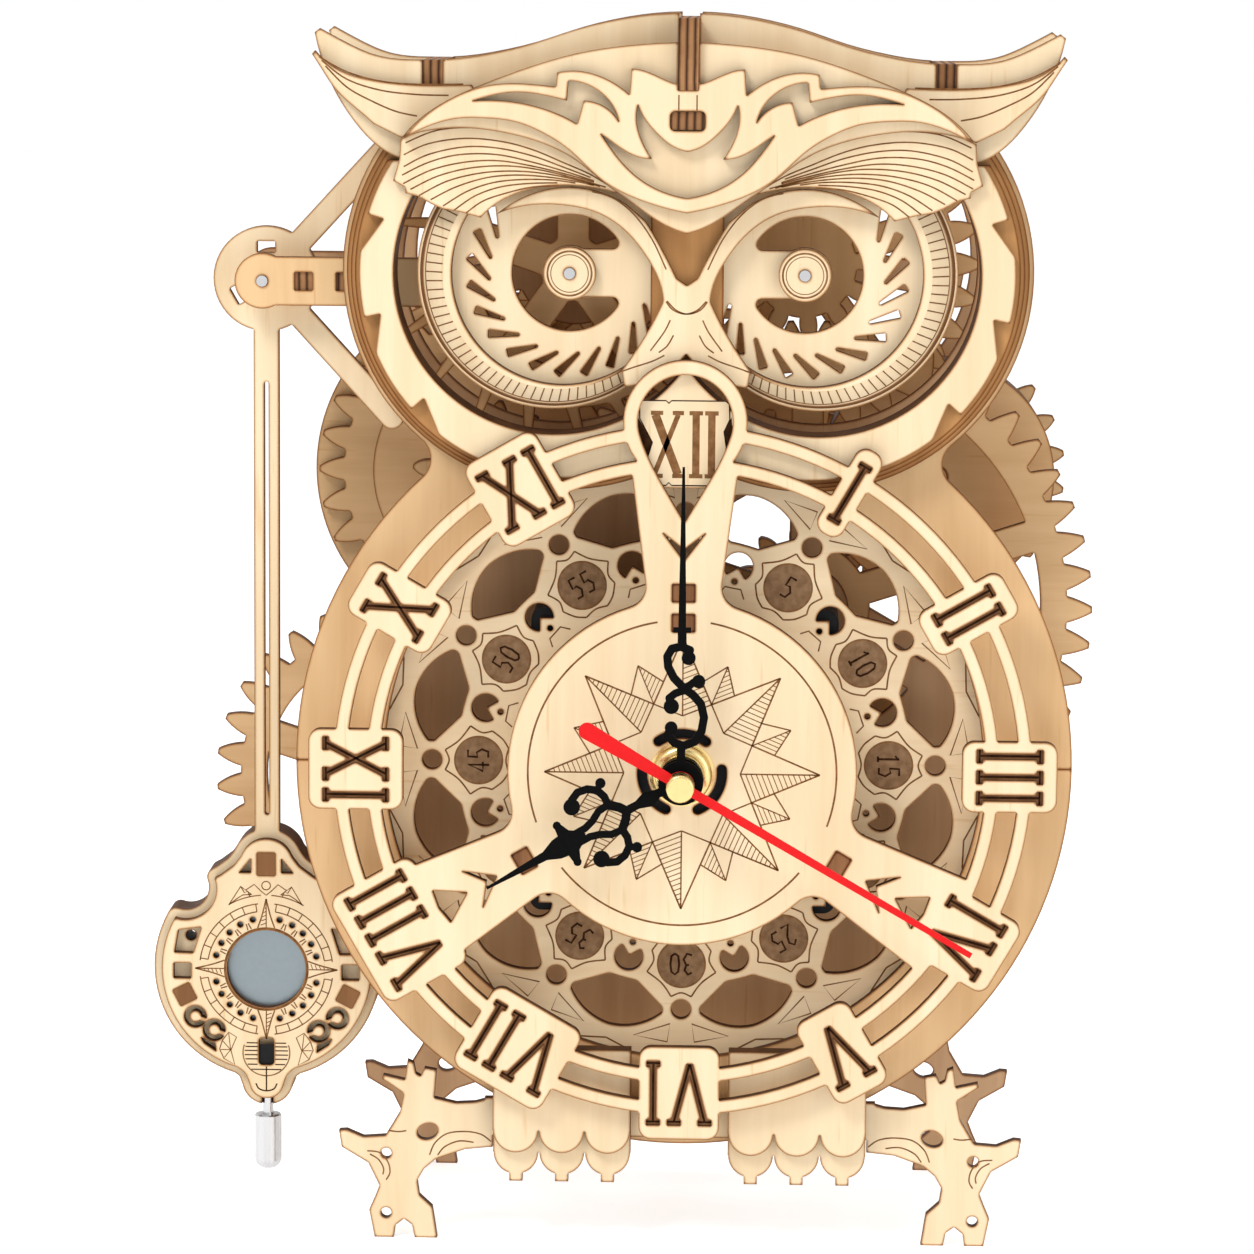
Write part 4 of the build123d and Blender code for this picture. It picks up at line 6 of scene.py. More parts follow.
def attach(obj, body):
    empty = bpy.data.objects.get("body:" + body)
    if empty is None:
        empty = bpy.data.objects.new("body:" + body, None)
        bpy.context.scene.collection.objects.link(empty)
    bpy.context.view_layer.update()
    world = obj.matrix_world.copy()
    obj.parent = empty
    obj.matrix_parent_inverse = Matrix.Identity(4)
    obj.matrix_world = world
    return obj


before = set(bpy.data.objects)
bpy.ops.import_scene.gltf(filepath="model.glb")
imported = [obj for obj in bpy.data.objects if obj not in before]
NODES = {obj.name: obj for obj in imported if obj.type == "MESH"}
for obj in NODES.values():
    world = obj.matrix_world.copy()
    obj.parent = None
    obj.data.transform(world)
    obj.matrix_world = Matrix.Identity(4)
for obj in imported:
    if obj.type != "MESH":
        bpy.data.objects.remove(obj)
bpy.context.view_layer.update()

# The dial centre in the frame, metres. Points below are millimetres from it:
# x to the right, d backwards from the dial sheet's front face, z up.
CENTRE = Vector((0.0113, -0.03175, 0.0886))


def spot(x, d, z):
    return Vector((CENTRE.x + x / 1000, CENTRE.y + d / 1000, CENTRE.z + z / 1000))


# Materials
WHITE = (1.0, 1.0, 1.0)
PLIES_PER_METRE = 1500.0        # three plies in a 2 mm sheet
STACK_BANDS_PER_METRE = 700.0   # bands on the stacked crown ribs
SINGE_REACH = 0.0006            # metres from a cut that the laser darkens
PIN_RADIUS = 1.02               # millimetres, the steel pin in each pinion


def new_material(name):
    mat = bpy.data.materials.new(name)
    mat.use_nodes = True
    tree = mat.node_tree
    tree.nodes.clear()
    out = tree.nodes.new("ShaderNodeOutputMaterial")
    bsdf = tree.nodes.new("ShaderNodeBsdfPrincipled")
    tree.links.new(bsdf.outputs["BSDF"], out.inputs["Surface"])
    return mat, tree, bsdf


def node(tree, kind, **values):
    made = tree.nodes.new(kind)
    for key, value in values.items():
        if key in made.inputs:
            made.inputs[key].default_value = value
        else:
            setattr(made, key, value)
    return made


def ramp(tree, source, stops):
    made = tree.nodes.new("ShaderNodeValToRGB")
    while len(made.color_ramp.elements) < len(stops):
        made.color_ramp.elements.new(0.5)
    for element, (place, color) in zip(made.color_ramp.elements, stops):
        element.position = place
        element.color = (*color, 1.0)
    tree.links.new(source, made.inputs["Fac"])
    return made.outputs["Color"]


def mix(tree, factor, a, b, blend="MIX"):
    made = tree.nodes.new("ShaderNodeMix")
    made.data_type = "RGBA"
    made.blend_type = blend
    for value, socket in ((factor, made.inputs["Factor"]), (a, made.inputs[6]), (b, made.inputs[7])):
        if hasattr(value, "is_linked"):
            tree.links.new(value, socket)
        elif isinstance(value, tuple):
            socket.default_value = (*value, 1.0)
        else:
            socket.default_value = value
    return made.outputs[2]


def maths(tree, operation, a, b=0.5):
    made = tree.nodes.new("ShaderNodeMath")
    made.operation = operation
    for value, socket in zip((a, b), made.inputs):
        if hasattr(value, "is_linked"):
            tree.links.new(value, socket)
        else:
            socket.default_value = value
    return made.outputs[0]


def grain(tree, along, shift=0.0):
    """Noise drawn out along one axis of the sheet: the plywood's grain."""
    coords = node(tree, "ShaderNodeTexCoord")
    mapping = node(tree, "ShaderNodeMapping")
    scale = {"z": (150.0, 20.0, 9.0), "x": (9.0, 20.0, 150.0)}[along]
    mapping.inputs["Scale"].default_value = scale
    mapping.inputs["Location"].default_value = (shift, shift * 0.7, shift * 1.3)
    tree.links.new(coords.outputs["Object"], mapping.inputs["Vector"])
    return mapping.outputs["Vector"]


def wood(name, pale, deep, edge_dark, edge_warm, along="z", shift=0.0, roughness=0.62, pocket=None,
         face_from=0.75):
    """Laser-cut plywood: grained faces, burnt cut edges, and burnt pocket floors
    for faces that lie between two depths (pocket, in millimetres)."""
    mat, tree, bsdf = new_material(name)
    vector = grain(tree, along, shift)
    fine = node(tree, "ShaderNodeTexNoise", Scale=1.0, Detail=6.0, Roughness=0.62, Distortion=0.4)
    broad = node(tree, "ShaderNodeTexNoise", Scale=0.16, Detail=3.0, Roughness=0.5, Distortion=1.4)
    pores = node(tree, "ShaderNodeTexNoise", Scale=5.5, Detail=2.0, Roughness=0.5)
    for texture in (fine, broad, pores):
        tree.links.new(vector, texture.inputs["Vector"])
    streaks = ramp(tree, fine.outputs["Fac"], [(0.30, deep), (0.62, pale)])
    clouds = ramp(tree, broad.outputs["Fac"], [(0.35, (0.93, 0.90, 0.86)), (0.65, WHITE)])
    face_color = mix(tree, 1.0, streaks, clouds, "MULTIPLY")
    flecks = ramp(tree, pores.outputs["Fac"], [(0.66, WHITE), (0.74, (0.92, 0.86, 0.78))])
    face_color = mix(tree, 1.0, face_color, flecks, "MULTIPLY")
    coords = node(tree, "ShaderNodeTexCoord")
    # Cut edges: charred, with warmer patches where the glue line shows
    wobble = node(tree, "ShaderNodeTexNoise", Scale=120.0, Detail=5.0, Roughness=0.65)
    tree.links.new(coords.outputs["Object"], wobble.inputs["Vector"])
    scorch = ramp(tree, wobble.outputs["Fac"], [(0.30, edge_dark), (0.75, edge_warm)])
    place = node(tree, "ShaderNodeSeparateXYZ")
    tree.links.new(coords.outputs["Object"], place.inputs[0])
    plies = maths(tree, "FRACT", maths(tree, "MULTIPLY", place.outputs["Y"], PLIES_PER_METRE))
    glue = (0.55, 0.50, 0.46)
    bands = ramp(tree, plies, [(0.0, glue), (0.35, WHITE), (0.65, WHITE), (1.0, glue)])
    edge_color = mix(tree, 1.0, scorch, bands, "MULTIPLY")
    geometry = node(tree, "ShaderNodeNewGeometry")
    normal = node(tree, "ShaderNodeSeparateXYZ")
    tree.links.new(geometry.outputs["True Normal"], normal.inputs[0])
    facing = maths(tree, "ABSOLUTE", normal.outputs["Y"])
    is_face = maths(tree, "GREATER_THAN", facing, face_from)
    # Heat from the laser darkens the face right beside each cut
    halo = node(tree, "ShaderNodeAmbientOcclusion", Distance=SINGE_REACH)
    halo.inside = True
    halo.samples = 8
    halo.only_local = True
    singe = ramp(tree, halo.outputs["AO"], [(0.50, (0.20, 0.085, 0.030)), (0.68, (0.62, 0.40, 0.22)),
                                            (0.90, WHITE)])
    face_color = mix(tree, 0.95, face_color, singe, "MULTIPLY")
    if pocket:
        near = maths(tree, "GREATER_THAN", place.outputs["Y"], spot(0, pocket[0], 0).y)
        far = maths(tree, "LESS_THAN", place.outputs["Y"], spot(0, pocket[1], 0).y)
        sunk = maths(tree, "MULTIPLY", near, far)
        burnt_floor = ramp(tree, fine.outputs["Fac"], [(0.3, (0.115, 0.045, 0.017)),
                                                       (0.66, (0.27, 0.125, 0.05))])
        face_color = mix(tree, sunk, face_color, burnt_floor)
    color = mix(tree, is_face, edge_color, face_color)
    tree.links.new(color, bsdf.inputs["Base Color"])
    bsdf.inputs["Roughness"].default_value = roughness
    bsdf.inputs["Specular IOR Level"].default_value = 0.16
    bump = node(tree, "ShaderNodeBump", Strength=0.10, Distance=0.0004)
    tree.links.new(fine.outputs["Fac"], bump.inputs["Height"])
    tree.links.new(bump.outputs["Normal"], bsdf.inputs["Normal"])
    return mat


def stacked(name, pale, dark):
    """Plywood seen on its cut edge: plies as bands through the depth, charred in between."""
    mat, tree, bsdf = new_material(name)
    coords = node(tree, "ShaderNodeTexCoord")
    split = node(tree, "ShaderNodeSeparateXYZ")
    tree.links.new(coords.outputs["Object"], split.inputs[0])
    wobble = node(tree, "ShaderNodeTexNoise", Scale=90.0, Detail=4.0, Roughness=0.6)
    tree.links.new(coords.outputs["Object"], wobble.inputs["Vector"])
    shift = maths(tree, "MULTIPLY", wobble.outputs["Fac"], 0.0006)
    depth = maths(tree, "ADD", split.outputs["X"], shift)
    turns = maths(tree, "FRACT", maths(tree, "MULTIPLY", depth, STACK_BANDS_PER_METRE))
    bands = ramp(tree, turns, [(0.0, dark), (0.30, pale), (0.62, pale), (0.95, dark)])
    patches = ramp(tree, wobble.outputs["Fac"], [(0.35, (0.62, 0.55, 0.50)), (0.65, WHITE)])
    tree.links.new(mix(tree, 1.0, bands, patches, "MULTIPLY"), bsdf.inputs["Base Color"])
    bsdf.inputs["Roughness"].default_value = 0.7
    bsdf.inputs["Specular IOR Level"].default_value = 0.2
    bump = node(tree, "ShaderNodeBump", Strength=0.25, Distance=0.0003)
    tree.links.new(turns, bump.inputs["Height"])
    tree.links.new(bump.outputs["Normal"], bsdf.inputs["Normal"])
    return mat


def metal(name, color, roughness, wear=0.12, along="z"):
    mat, tree, bsdf = new_material(name)
    coords = node(tree, "ShaderNodeTexCoord")
    mapping = node(tree, "ShaderNodeMapping")
    mapping.inputs["Scale"].default_value = {"z": (900, 900, 40), "y": (900, 40, 900)}[along]
    tree.links.new(coords.outputs["Object"], mapping.inputs["Vector"])
    brush = node(tree, "ShaderNodeTexNoise", Scale=1.0, Detail=4.0)
    tree.links.new(mapping.outputs["Vector"], brush.inputs["Vector"])
    low = tuple(max(0.0, c * (1 - wear)) for c in color)
    shade = ramp(tree, brush.outputs["Fac"], [(0.3, low), (0.7, color)])
    tree.links.new(shade, bsdf.inputs["Base Color"])
    rough = ramp(tree, brush.outputs["Fac"], [(0.3, (roughness * 0.8,) * 3), (0.7, (roughness * 1.2,) * 3)])
    tree.links.new(rough, bsdf.inputs["Roughness"])
    bsdf.inputs["Metallic"].default_value = 1.0
    return mat


def painted(name, color, roughness, fleck=0.1, metallic=0.0, specular=0.4):
    mat, tree, bsdf = new_material(name)
    coords = node(tree, "ShaderNodeTexCoord")
    speckle = node(tree, "ShaderNodeTexNoise", Scale=1400.0, Detail=2.0)
    tree.links.new(coords.outputs["Object"], speckle.inputs["Vector"])
    low = tuple(c * (1 - fleck) for c in color)
    shade = ramp(tree, speckle.outputs["Fac"], [(0.35, low), (0.65, color)])
    tree.links.new(shade, bsdf.inputs["Base Color"])
    bsdf.inputs["Roughness"].default_value = roughness
    bsdf.inputs["Metallic"].default_value = metallic
    bsdf.inputs["Specular IOR Level"].default_value = specular
    bump = node(tree, "ShaderNodeBump", Strength=0.04, Distance=0.0001)
    tree.links.new(speckle.outputs["Fac"], bump.inputs["Height"])
    tree.links.new(bump.outputs["Normal"], bsdf.inputs["Normal"])
    return mat


def near_axis(name, inner, outer, x, z, radius):
    """One look within a radius of an arbor's axis, another outside: a steel pin in a wooden pinion."""
    mat = outer.copy()
    mat.name = name
    tree = mat.node_tree
    out = next(n for n in tree.nodes if n.type == "OUTPUT_MATERIAL")
    wooden = out.inputs["Surface"].links[0].from_socket
    steel = tree.nodes.new("ShaderNodeBsdfPrincipled")
    steel.inputs["Base Color"].default_value = (*inner, 1.0)
    steel.inputs["Metallic"].default_value = 1.0
    steel.inputs["Roughness"].default_value = 0.28
    coords = node(tree, "ShaderNodeTexCoord")
    flat = node(tree, "ShaderNodeVectorMath", operation="SUBTRACT")
    tree.links.new(coords.outputs["Object"], flat.inputs[0])
    place = spot(x, 0, z)
    flat.inputs[1].default_value = (place.x, 0.0, place.z)
    level = node(tree, "ShaderNodeVectorMath", operation="MULTIPLY")
    tree.links.new(flat.outputs[0], level.inputs[0])
    level.inputs[1].default_value = (1.0, 0.0, 1.0)
    length = node(tree, "ShaderNodeVectorMath", operation="LENGTH")
    tree.links.new(level.outputs[0], length.inputs[0])
    inside = maths(tree, "LESS_THAN", length.outputs["Value"], radius / 1000)
    blend = tree.nodes.new("ShaderNodeMixShader")
    tree.links.new(inside, blend.inputs["Fac"])
    tree.links.new(wooden, blend.inputs[1])
    tree.links.new(steel.outputs["BSDF"], blend.inputs[2])
    tree.links.new(blend.outputs[0], out.inputs["Surface"])
    return mat


CREAM = (0.930, 0.760, 0.520)
CREAM_DEEP = (0.850, 0.655, 0.415)
GOLD = (0.820, 0.560, 0.305)
GOLD_DEEP = (0.710, 0.460, 0.235)
TAN = (0.600, 0.390, 0.230)
TAN_DEEP = (0.490, 0.300, 0.165)
AMBER = (0.560, 0.290, 0.110)
AMBER_DEEP = (0.420, 0.200, 0.070)
BURNT = (0.055, 0.021, 0.009)
TOAST = (0.170, 0.074, 0.029)

dial_wood = wood("ply_dial", CREAM, CREAM_DEEP, BURNT, TOAST, pocket=(0.2, 1.9))
core_wood = wood("ply_bob_core", AMBER, AMBER_DEEP, BURNT, TOAST, shift=6.1, pocket=(16.8, 17.2))
slope_wood = wood("ply_eye_bezel", CREAM, CREAM_DEEP, BURNT, TOAST, shift=3.7, face_from=0.45)
cream = wood("ply_cream", CREAM, CREAM_DEEP, BURNT, TOAST, shift=4.4)
cream_far = wood("ply_cream_back_layers", CREAM, CREAM_DEEP, BURNT, TOAST, shift=3.1)
cream_cross = wood("ply_cream_cross_grain", CREAM, CREAM_DEEP, BURNT, TOAST, along="x", shift=1.7)
gold = wood("ply_gold", GOLD, GOLD_DEEP, BURNT, TOAST, shift=5.3)
gold_cross = wood("ply_gold_cross_grain", GOLD, GOLD_DEEP, BURNT, TOAST, along="x", shift=7.9)
tan = wood("ply_tan", TAN, TAN_DEEP, BURNT, TOAST, shift=11.0)
amber = wood("ply_amber", AMBER, AMBER_DEEP, BURNT, TOAST, shift=6.6)
end_grain = stacked("ply_end_grain", (0.40, 0.20, 0.085), (0.045, 0.016, 0.006))
toasted = wood("ply_toasted_edge", (0.30, 0.14, 0.060), (0.12, 0.045, 0.020), BURNT, TOAST, shift=2.2)
steel = metal("turned_steel", (0.62, 0.62, 0.63), 0.26)
steel_disc = metal("steel_disc", (0.25, 0.29, 0.31), 0.36, along="y")
spring_steel = metal("spring_steel", (0.30, 0.31, 0.34), 0.34)
brass = metal("satin_brass", (0.83, 0.63, 0.28), 0.24, along="y")
black = painted("black_hand_paint", (0.003, 0.003, 0.003), 0.55, 0.3, specular=0.05)
red = painted("red_hand_paint", (0.78, 0.006, 0.008), 0.45, 0.08, specular=0.2)
# Black plastic, also used as painted shade behind the dial's hub slots
black_plastic_and_shade = painted("black_plastic", (0.012, 0.012, 0.013), 0.55, 0.2, specular=0.15)
jacket = painted("battery_jacket", (0.08, 0.20, 0.12), 0.35, 0.1, metallic=0.3)

EYE_X, EYE_Z = 21.0125, 89.5
ARBORS = {
    "great_arbor": (22.0, 25.958),
    "right_eye_arbor": (EYE_X, EYE_Z),
    "left_eye_arbor": (-EYE_X, EYE_Z),
    "side_upper_arbor": (-37.0, 49.571),
    "side_lower_arbor": (-56.6, -8.722),
}
LOOKS = {
    dial_wood: ("dial_plate",),
    cream: ("head_ring", "nose_plate", "eye_bushes", "brows", "forehead_ornament", "ears", "twelve_plaque"),
    cream_far: ("forehead_plate", "eye_plate", "talons_front", "talons_back", "feet_front", "crown_front",
                "pendulum_rod", "bob_front"),
    slope_wood: ("eye_bezel_left", "eye_bezel_right"),
    core_wood: ("bob_core",),
    cream_cross: ("crown_back", "minute_ring"),
    gold: ("body_front_upper", "body_front_lower", "pendulum_bracket"),
    gold_cross: ("great_wheel", "right_eye_wheel", "escape_wheel", "side_upper_wheel", "side_lower_wheel",
                 "barrel_wheel", "winding_key", "spring_case"),
    tan: ("mid_frame", "back_frame", "feet_back", "frame_pillars"),
    amber: ("step_ring_front", "step_ring_middle", "step_ring_back"),
    end_grain: ("crown_ribs",),
    toasted: ("dial_spacers",),
    steel: ("pendulum_arbor", "rating_rod", "rating_weight"),
    steel_disc: ("bob_disc",),
    spring_steel: ("mainspring",),
    brass: ("hand_cap", "movement_stem", "stem_nut"),
    black: ("hour_hand", "minute_hand"),
    red: ("second_hand",),
    black_plastic_and_shade: ("movement_case", "setting_knob"),
    jacket: ("battery",),
}


def dress(name, mat):
    data = NODES[name].data
    data.materials.clear()
    data.materials.append(mat)
    for polygon in data.polygons:
        polygon.material_index = 0


for look, names in LOOKS.items():
    for name in names:
        dress(name, look)
for name, (x, z) in ARBORS.items():
    dress(name, near_axis(name + "_look", (0.55, 0.55, 0.56), gold, x, z, PIN_RADIUS))

# Engraving: fine burnt lines stand a little proud of the sheet that carries them, in millimetres,
# so no two faces share a plane.
PROUD = 0.02


def burn_material(name, dark, warm):
    mat, tree, bsdf = new_material(name)
    coords = node(tree, "ShaderNodeTexCoord")
    specks = node(tree, "ShaderNodeTexNoise", Scale=700.0, Detail=3.0, Roughness=0.6)
    tree.links.new(coords.outputs["Object"], specks.inputs["Vector"])
    shade = ramp(tree, specks.outputs["Fac"], [(0.35, dark), (0.70, warm)])
    tree.links.new(shade, bsdf.inputs["Base Color"])
    bsdf.inputs["Roughness"].default_value = 0.85
    bsdf.inputs["Specular IOR Level"].default_value = 0.03
    return mat


burn = burn_material("engraved_line", (0.150, 0.060, 0.020), (0.290, 0.135, 0.050))
# Black engraving, also used as painted shade in the numeral cuts and round the twelfth plaque
black_engraving_and_shade = burn_material("engraved_black_and_painted_shade", (0.020, 0.008, 0.004), (0.060, 0.024, 0.010))
brown = burn_material("engraved_fill", (0.180, 0.080, 0.030), (0.300, 0.150, 0.065))
slate = burn_material("medallion_floor", (0.210, 0.120, 0.062), (0.310, 0.190, 0.105))


def polar(radius, angle, centre=(0, 0)):
    return (centre[0] + radius * math.cos(math.radians(angle)), centre[1] + radius * math.sin(math.radians(angle)))


def arc(centre, radius, start, stop, steps=24):
    return [polar(radius, start + (stop - start) * i / steps, centre) for i in range(steps + 1)]


def smooth(points, per=6):
    """An open curve through the points (Catmull-Rom)."""
    count = len(points)
    result = []
    for i in range(count - 1):
        p0, p1 = points[max(i - 1, 0)], points[i]
        p2, p3 = points[i + 1], points[min(i + 2, count - 1)]
        for j in range(per):
            t = j / per
            result.append(tuple(0.5 * (2 * b + (c - a) * t + (2 * a - 5 * b + 4 * c - d) * t * t
                                       + (3 * b - a - 3 * c + d) * t ** 3)
                                for a, b, c, d in zip(p0, p1, p2, p3)))
    result.append(points[-1])
    return result


def flipped(lines):
    return [[(-x, z) for x, z in line] for line in lines]


def turned(lines, degrees, centre=(0, 0)):
    c, s = math.cos(math.radians(degrees)), math.sin(math.radians(degrees))
    return [[(centre[0] + x * c - z * s, centre[1] + x * s + z * c) for x, z in line] for line in lines]


class Etching:
    """Gathers flat lines and fills, then becomes one mesh on a body."""

    def __init__(self):
        self.points, self.faces = [], []

    def line(self, points, width, depth, closed=False):
        if closed:
            points = list(points) + [points[0]]
        half = width / 2
        depths = depth if isinstance(depth, list) else [depth] * len(points)
        rows = []
        for i, (x, z) in enumerate(points):
            if closed and i in (0, len(points) - 1):
                before, after = points[-2], points[1]
            else:
                before, after = points[max(i - 1, 0)], points[min(i + 1, len(points) - 1)]
            dx, dz = after[0] - before[0], after[1] - before[1]
            size = math.hypot(dx, dz) or 1.0
            nx, nz = -dz / size * half, dx / size * half
            rows.append(((x + nx, z + nz), (x - nx, z - nz)))
        base = len(self.points)
        for (left, right), d in zip(rows, depths):
            self.points += [spot(left[0], d, left[1]), spot(right[0], d, right[1])]
        for i in range(len(rows) - 1):
            k = base + 2 * i
            self.faces.append((k, k + 1, k + 3, k + 2))

    def lines(self, many, width, depth, closed=False):
        for points in many:
            self.line(points, width, depth, closed)

    def fill(self, points, depth):
        base = len(self.points)
        cx = sum(p[0] for p in points) / len(points)
        cz = sum(p[1] for p in points) / len(points)
        self.points.append(spot(cx, depth, cz))
        self.points += [spot(x, depth, z) for x, z in points]
        count = len(points)
        for i in range(count):
            self.faces.append((base, base + 1 + i, base + 1 + (i + 1) % count))

    def made(self, name, body, mat):
        mesh = bpy.data.meshes.new(name)
        mesh.from_pydata(self.points, [], self.faces)
        mesh.update()
        for polygon in mesh.polygons:
            if polygon.normal.y > 0:
                polygon.flip()
        piece = bpy.data.objects.new(name, mesh)
        bpy.context.scene.collection.objects.link(piece)
        piece.data.materials.append(mat)
        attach(piece, body)


# Digits as strokes on a box one unit wide and two high
STROKES = {
    "0": [[(0.5, 0), (0.15, 0.25), (0.05, 1), (0.15, 1.75), (0.5, 2), (0.85, 1.75), (0.95, 1), (0.85, 0.25),
           (0.5, 0)]],
    "1": [[(0.2, 1.6), (0.55, 2), (0.55, 0)], [(0.25, 0), (0.85, 0)]],
    "2": [[(0.1, 1.6), (0.5, 2), (0.9, 1.6), (0.75, 1.0), (0.1, 0), (0.95, 0)]],
    "3": [[(0.1, 1.8), (0.5, 2), (0.85, 1.6), (0.7, 1.15), (0.4, 1.05)],
          [(0.7, 1.05), (0.95, 0.55), (0.6, 0), (0.1, 0.15)]],
    "4": [[(0.7, 0), (0.7, 2), (0.05, 0.6), (1.0, 0.6)]],
    "5": [[(0.9, 2), (0.2, 2), (0.15, 1.1), (0.6, 1.2), (0.95, 0.7), (0.7, 0.1), (0.1, 0.1)]],
}


def number(text, centre, size, turn):
    """Strokes of a number, upright along the turn."""
    lines = []
    width = size * 0.46
    gap = size * 0.16
    total = len(text) * width + (len(text) - 1) * gap
    for place, digit in enumerate(text):
        left = -total / 2 + place * (width + gap)
        for stroke in STROKES[digit]:
            lines.append([(left + x * width, (z / 2 - 0.5) * size) for x, z in stroke])
    return turned(lines, turn, centre)


# Dial: compass star, its hatching, the ring round it
DIAL = -PROUD
LONG_TIP, LONG_ROOT = 24.8, 10.5     # the eight long points
SHORT_TIP, VALLEY = 21.1, 13.6       # the points between them and the corners where they meet
SHORT_SIDE, SHORT_SPREAD = 17.0, 10.6
star = Etching()
hatch = Etching()
for k in range(8):
    a, b = 45 * k, 45 * k + 22.5
    for side in (-1, 1):
        star.line([polar(LONG_TIP, a), polar(VALLEY, a + side * 22.5)], 0.30, DIAL)
        star.line([polar(SHORT_SIDE, b + side * SHORT_SPREAD), polar(SHORT_TIP, b)], 0.26, DIAL)
        star.line([polar(LONG_ROOT, a), polar(VALLEY, a + side * 22.5)], 0.26, DIAL)
    star.line([polar(LONG_ROOT, a), polar(LONG_TIP, a)], 0.26, DIAL)
    star.line([polar(VALLEY, b), polar(SHORT_TIP, b)], 0.22, DIAL)
    tip, inner, valley = polar(LONG_TIP, a), polar(LONG_ROOT, a), polar(VALLEY, a - 22.5)
    for step in range(1, 15):
        t = step / 15
        hatch.line([(inner[0] + (tip[0] - inner[0]) * t, inner[1] + (tip[1] - inner[1]) * t),
                    (valley[0] + (tip[0] - valley[0]) * t, valley[1] + (tip[1] - valley[1]) * t)], 0.17, DIAL)
    tip, inner, valley = polar(SHORT_TIP, b), polar(VALLEY, b), polar(SHORT_SIDE, b - SHORT_SPREAD)
    for step in range(1, 7):
        t = step / 7
        hatch.line([(inner[0] + (tip[0] - inner[0]) * t, inner[1] + (tip[1] - inner[1]) * t),
                    (valley[0] + (tip[0] - valley[0]) * t, valley[1] + (tip[1] - valley[1]) * t)], 0.15, DIAL)
for start, stop in ((99.6, 199.5), (219.0, 320.0), (-19.8, 79.9)):
    star.line(arc((0, 0), 27.8, start, stop, 60), 0.34, DIAL)
star.made("dial_star", "frame", burn)
hatch.made("dial_star_hatch", "frame", burn)

# Minute ring: numbered medallions in hexagon frames, leaf and fan lines
RING = 12 - PROUD
MEDALLION_AT = 37.4
frames, floors, rims, digits = Etching(), Etching(), Etching(), Etching()
for hour in range(12):
    angle = 90 - 30 * hour
    centre = polar(MEDALLION_AT, angle)

    def local(points, out=MEDALLION_AT, angle=angle):
        """Points given as (outwards, clockwise) from a place on the ring's radius."""
        c, s = math.cos(math.radians(angle)), math.sin(math.radians(angle))
        return [((out + u) * c + v * s, (out + u) * s - v * c) for u, v in points]

    floors.fill(arc(centre, 4.2, 0, 351, 39), RING - 0.01)
    rims.line(arc(centre, 4.35, 0, 354, 59), 0.32, RING - 0.02, closed=True)
    top = local([(6.1, -1.85), (5.55, -0.7), (5.4, 0), (5.55, 0.7), (6.1, 1.85)])
    low = local([(-5.5, -2.2), (-5.1, -0.8), (-5.0, 0), (-5.1, 0.8), (-5.5, 2.2)])
    frames.line(smooth(top), 0.30, RING)
    frames.line(smooth(low), 0.30, RING)
    for side in (-1, 1):
        frames.line(smooth(local([(6.1, side * 1.85), (3.6, side * 3.6), (1.5, side * 6.3)])), 0.30, RING)
        frames.line(smooth(local([(1.5, side * 6.3), (-0.6, side * 5.1), (-2.5, side * 5.4)])), 0.30, RING)
        frames.line(smooth(local([(-2.5, side * 5.4), (-4.4, side * 3.9), (-5.5, side * 2.2)])), 0.30, RING)
        frames.line(local([(50.8, side * 8.7), (48.6, side * 2.0), (52.0, side * 2.5)], out=0), 0.30, RING,
                    closed=True)
        middle = angle + 15
        frames.line([polar(56.5, middle + side * 9), polar(54.4, middle + side * 5), polar(53.1, middle)],
                    0.30, RING)
    middle = angle + 15
    frames.line([polar(32.0, middle - 4.5), polar(33.5, middle - 2.6), polar(33.3, middle + 2.4),
                 polar(31.9, middle + 3.8)], 0.28, RING)
    if hour:
        digits.lines(number(str(5 * hour), centre, 3.9, angle - 90), 0.42, RING - 0.03)
frames.made("minute_ring_lines", "frame", burn)
floors.made("minute_ring_medallions", "frame", slate)
rims.made("minute_ring_rims", "frame", brown)
digits.made("minute_ring_numbers", "frame", black_engraving_and_shade)

# Numerals: painted shade, a black core line along every stroke of the burnt pockets for the dark depth of each cut
GLYPH = {"height": 12.0, "stroke": 1.15, "pitch": 3.8, "spread": 5.6, "serif": 2.5}
NUMERALS_AT = 58.9
POCKET_DEPTH = 0.7
NUMERALS = ("", "I", "II", "III", "IV", "V", "VI", "VII", "VIII", "IX", "X", "XI")


def roman(text, height, stroke, pitch, spread, serif):
    """Stroke lines and serif lines of a numeral, upright about the origin."""
    reach, places = 0.0, []
    for index, letter in enumerate(text):
        wide = 0.0 if letter == "I" else spread
        reach += pitch if index else 0.0
        places.append((letter, reach + wide / 2, wide))
        reach += wide
    top = (height - stroke) / 2
    lines, serifs = [], []
    for letter, x, wide in places:
        x -= reach / 2
        left, right = x - wide / 2, x + wide / 2
        if letter == "I":
            lines.append([(x, -top), (x, top)])
            ends = [(x, top), (x, -top)]
        elif letter == "V":
            lines += [[(left, top), (x, -top)], [(right, top), (x, -top)]]
            ends = [(left, top), (right, top)]
        else:
            lines += [[(left, top), (right, -top)], [(right, top), (left, -top)]]
            ends = [(left, top), (right, top), (left, -top), (right, -top)]
        serifs += [[(ex - serif / 2, ez), (ex + serif / 2, ez)] for ex, ez in ends]
    return lines, serifs


# Painted shade: black lines down the middle of the numeral pockets
cut_shade_lines = Etching()
for hour in range(1, 12):
    lines, serifs = roman(NUMERALS[hour], **GLYPH)
    centre = polar(NUMERALS_AT, 90 - 30 * hour)
    cut_shade_lines.lines(turned(lines, -30 * hour, centre), 0.42, POCKET_DEPTH - PROUD)
    cut_shade_lines.lines(turned(serifs, -30 * hour, centre), 0.34, POCKET_DEPTH - 2 * PROUD)
cut_shade_lines.made("numeral_cut_shade", "frame", black_engraving_and_shade)

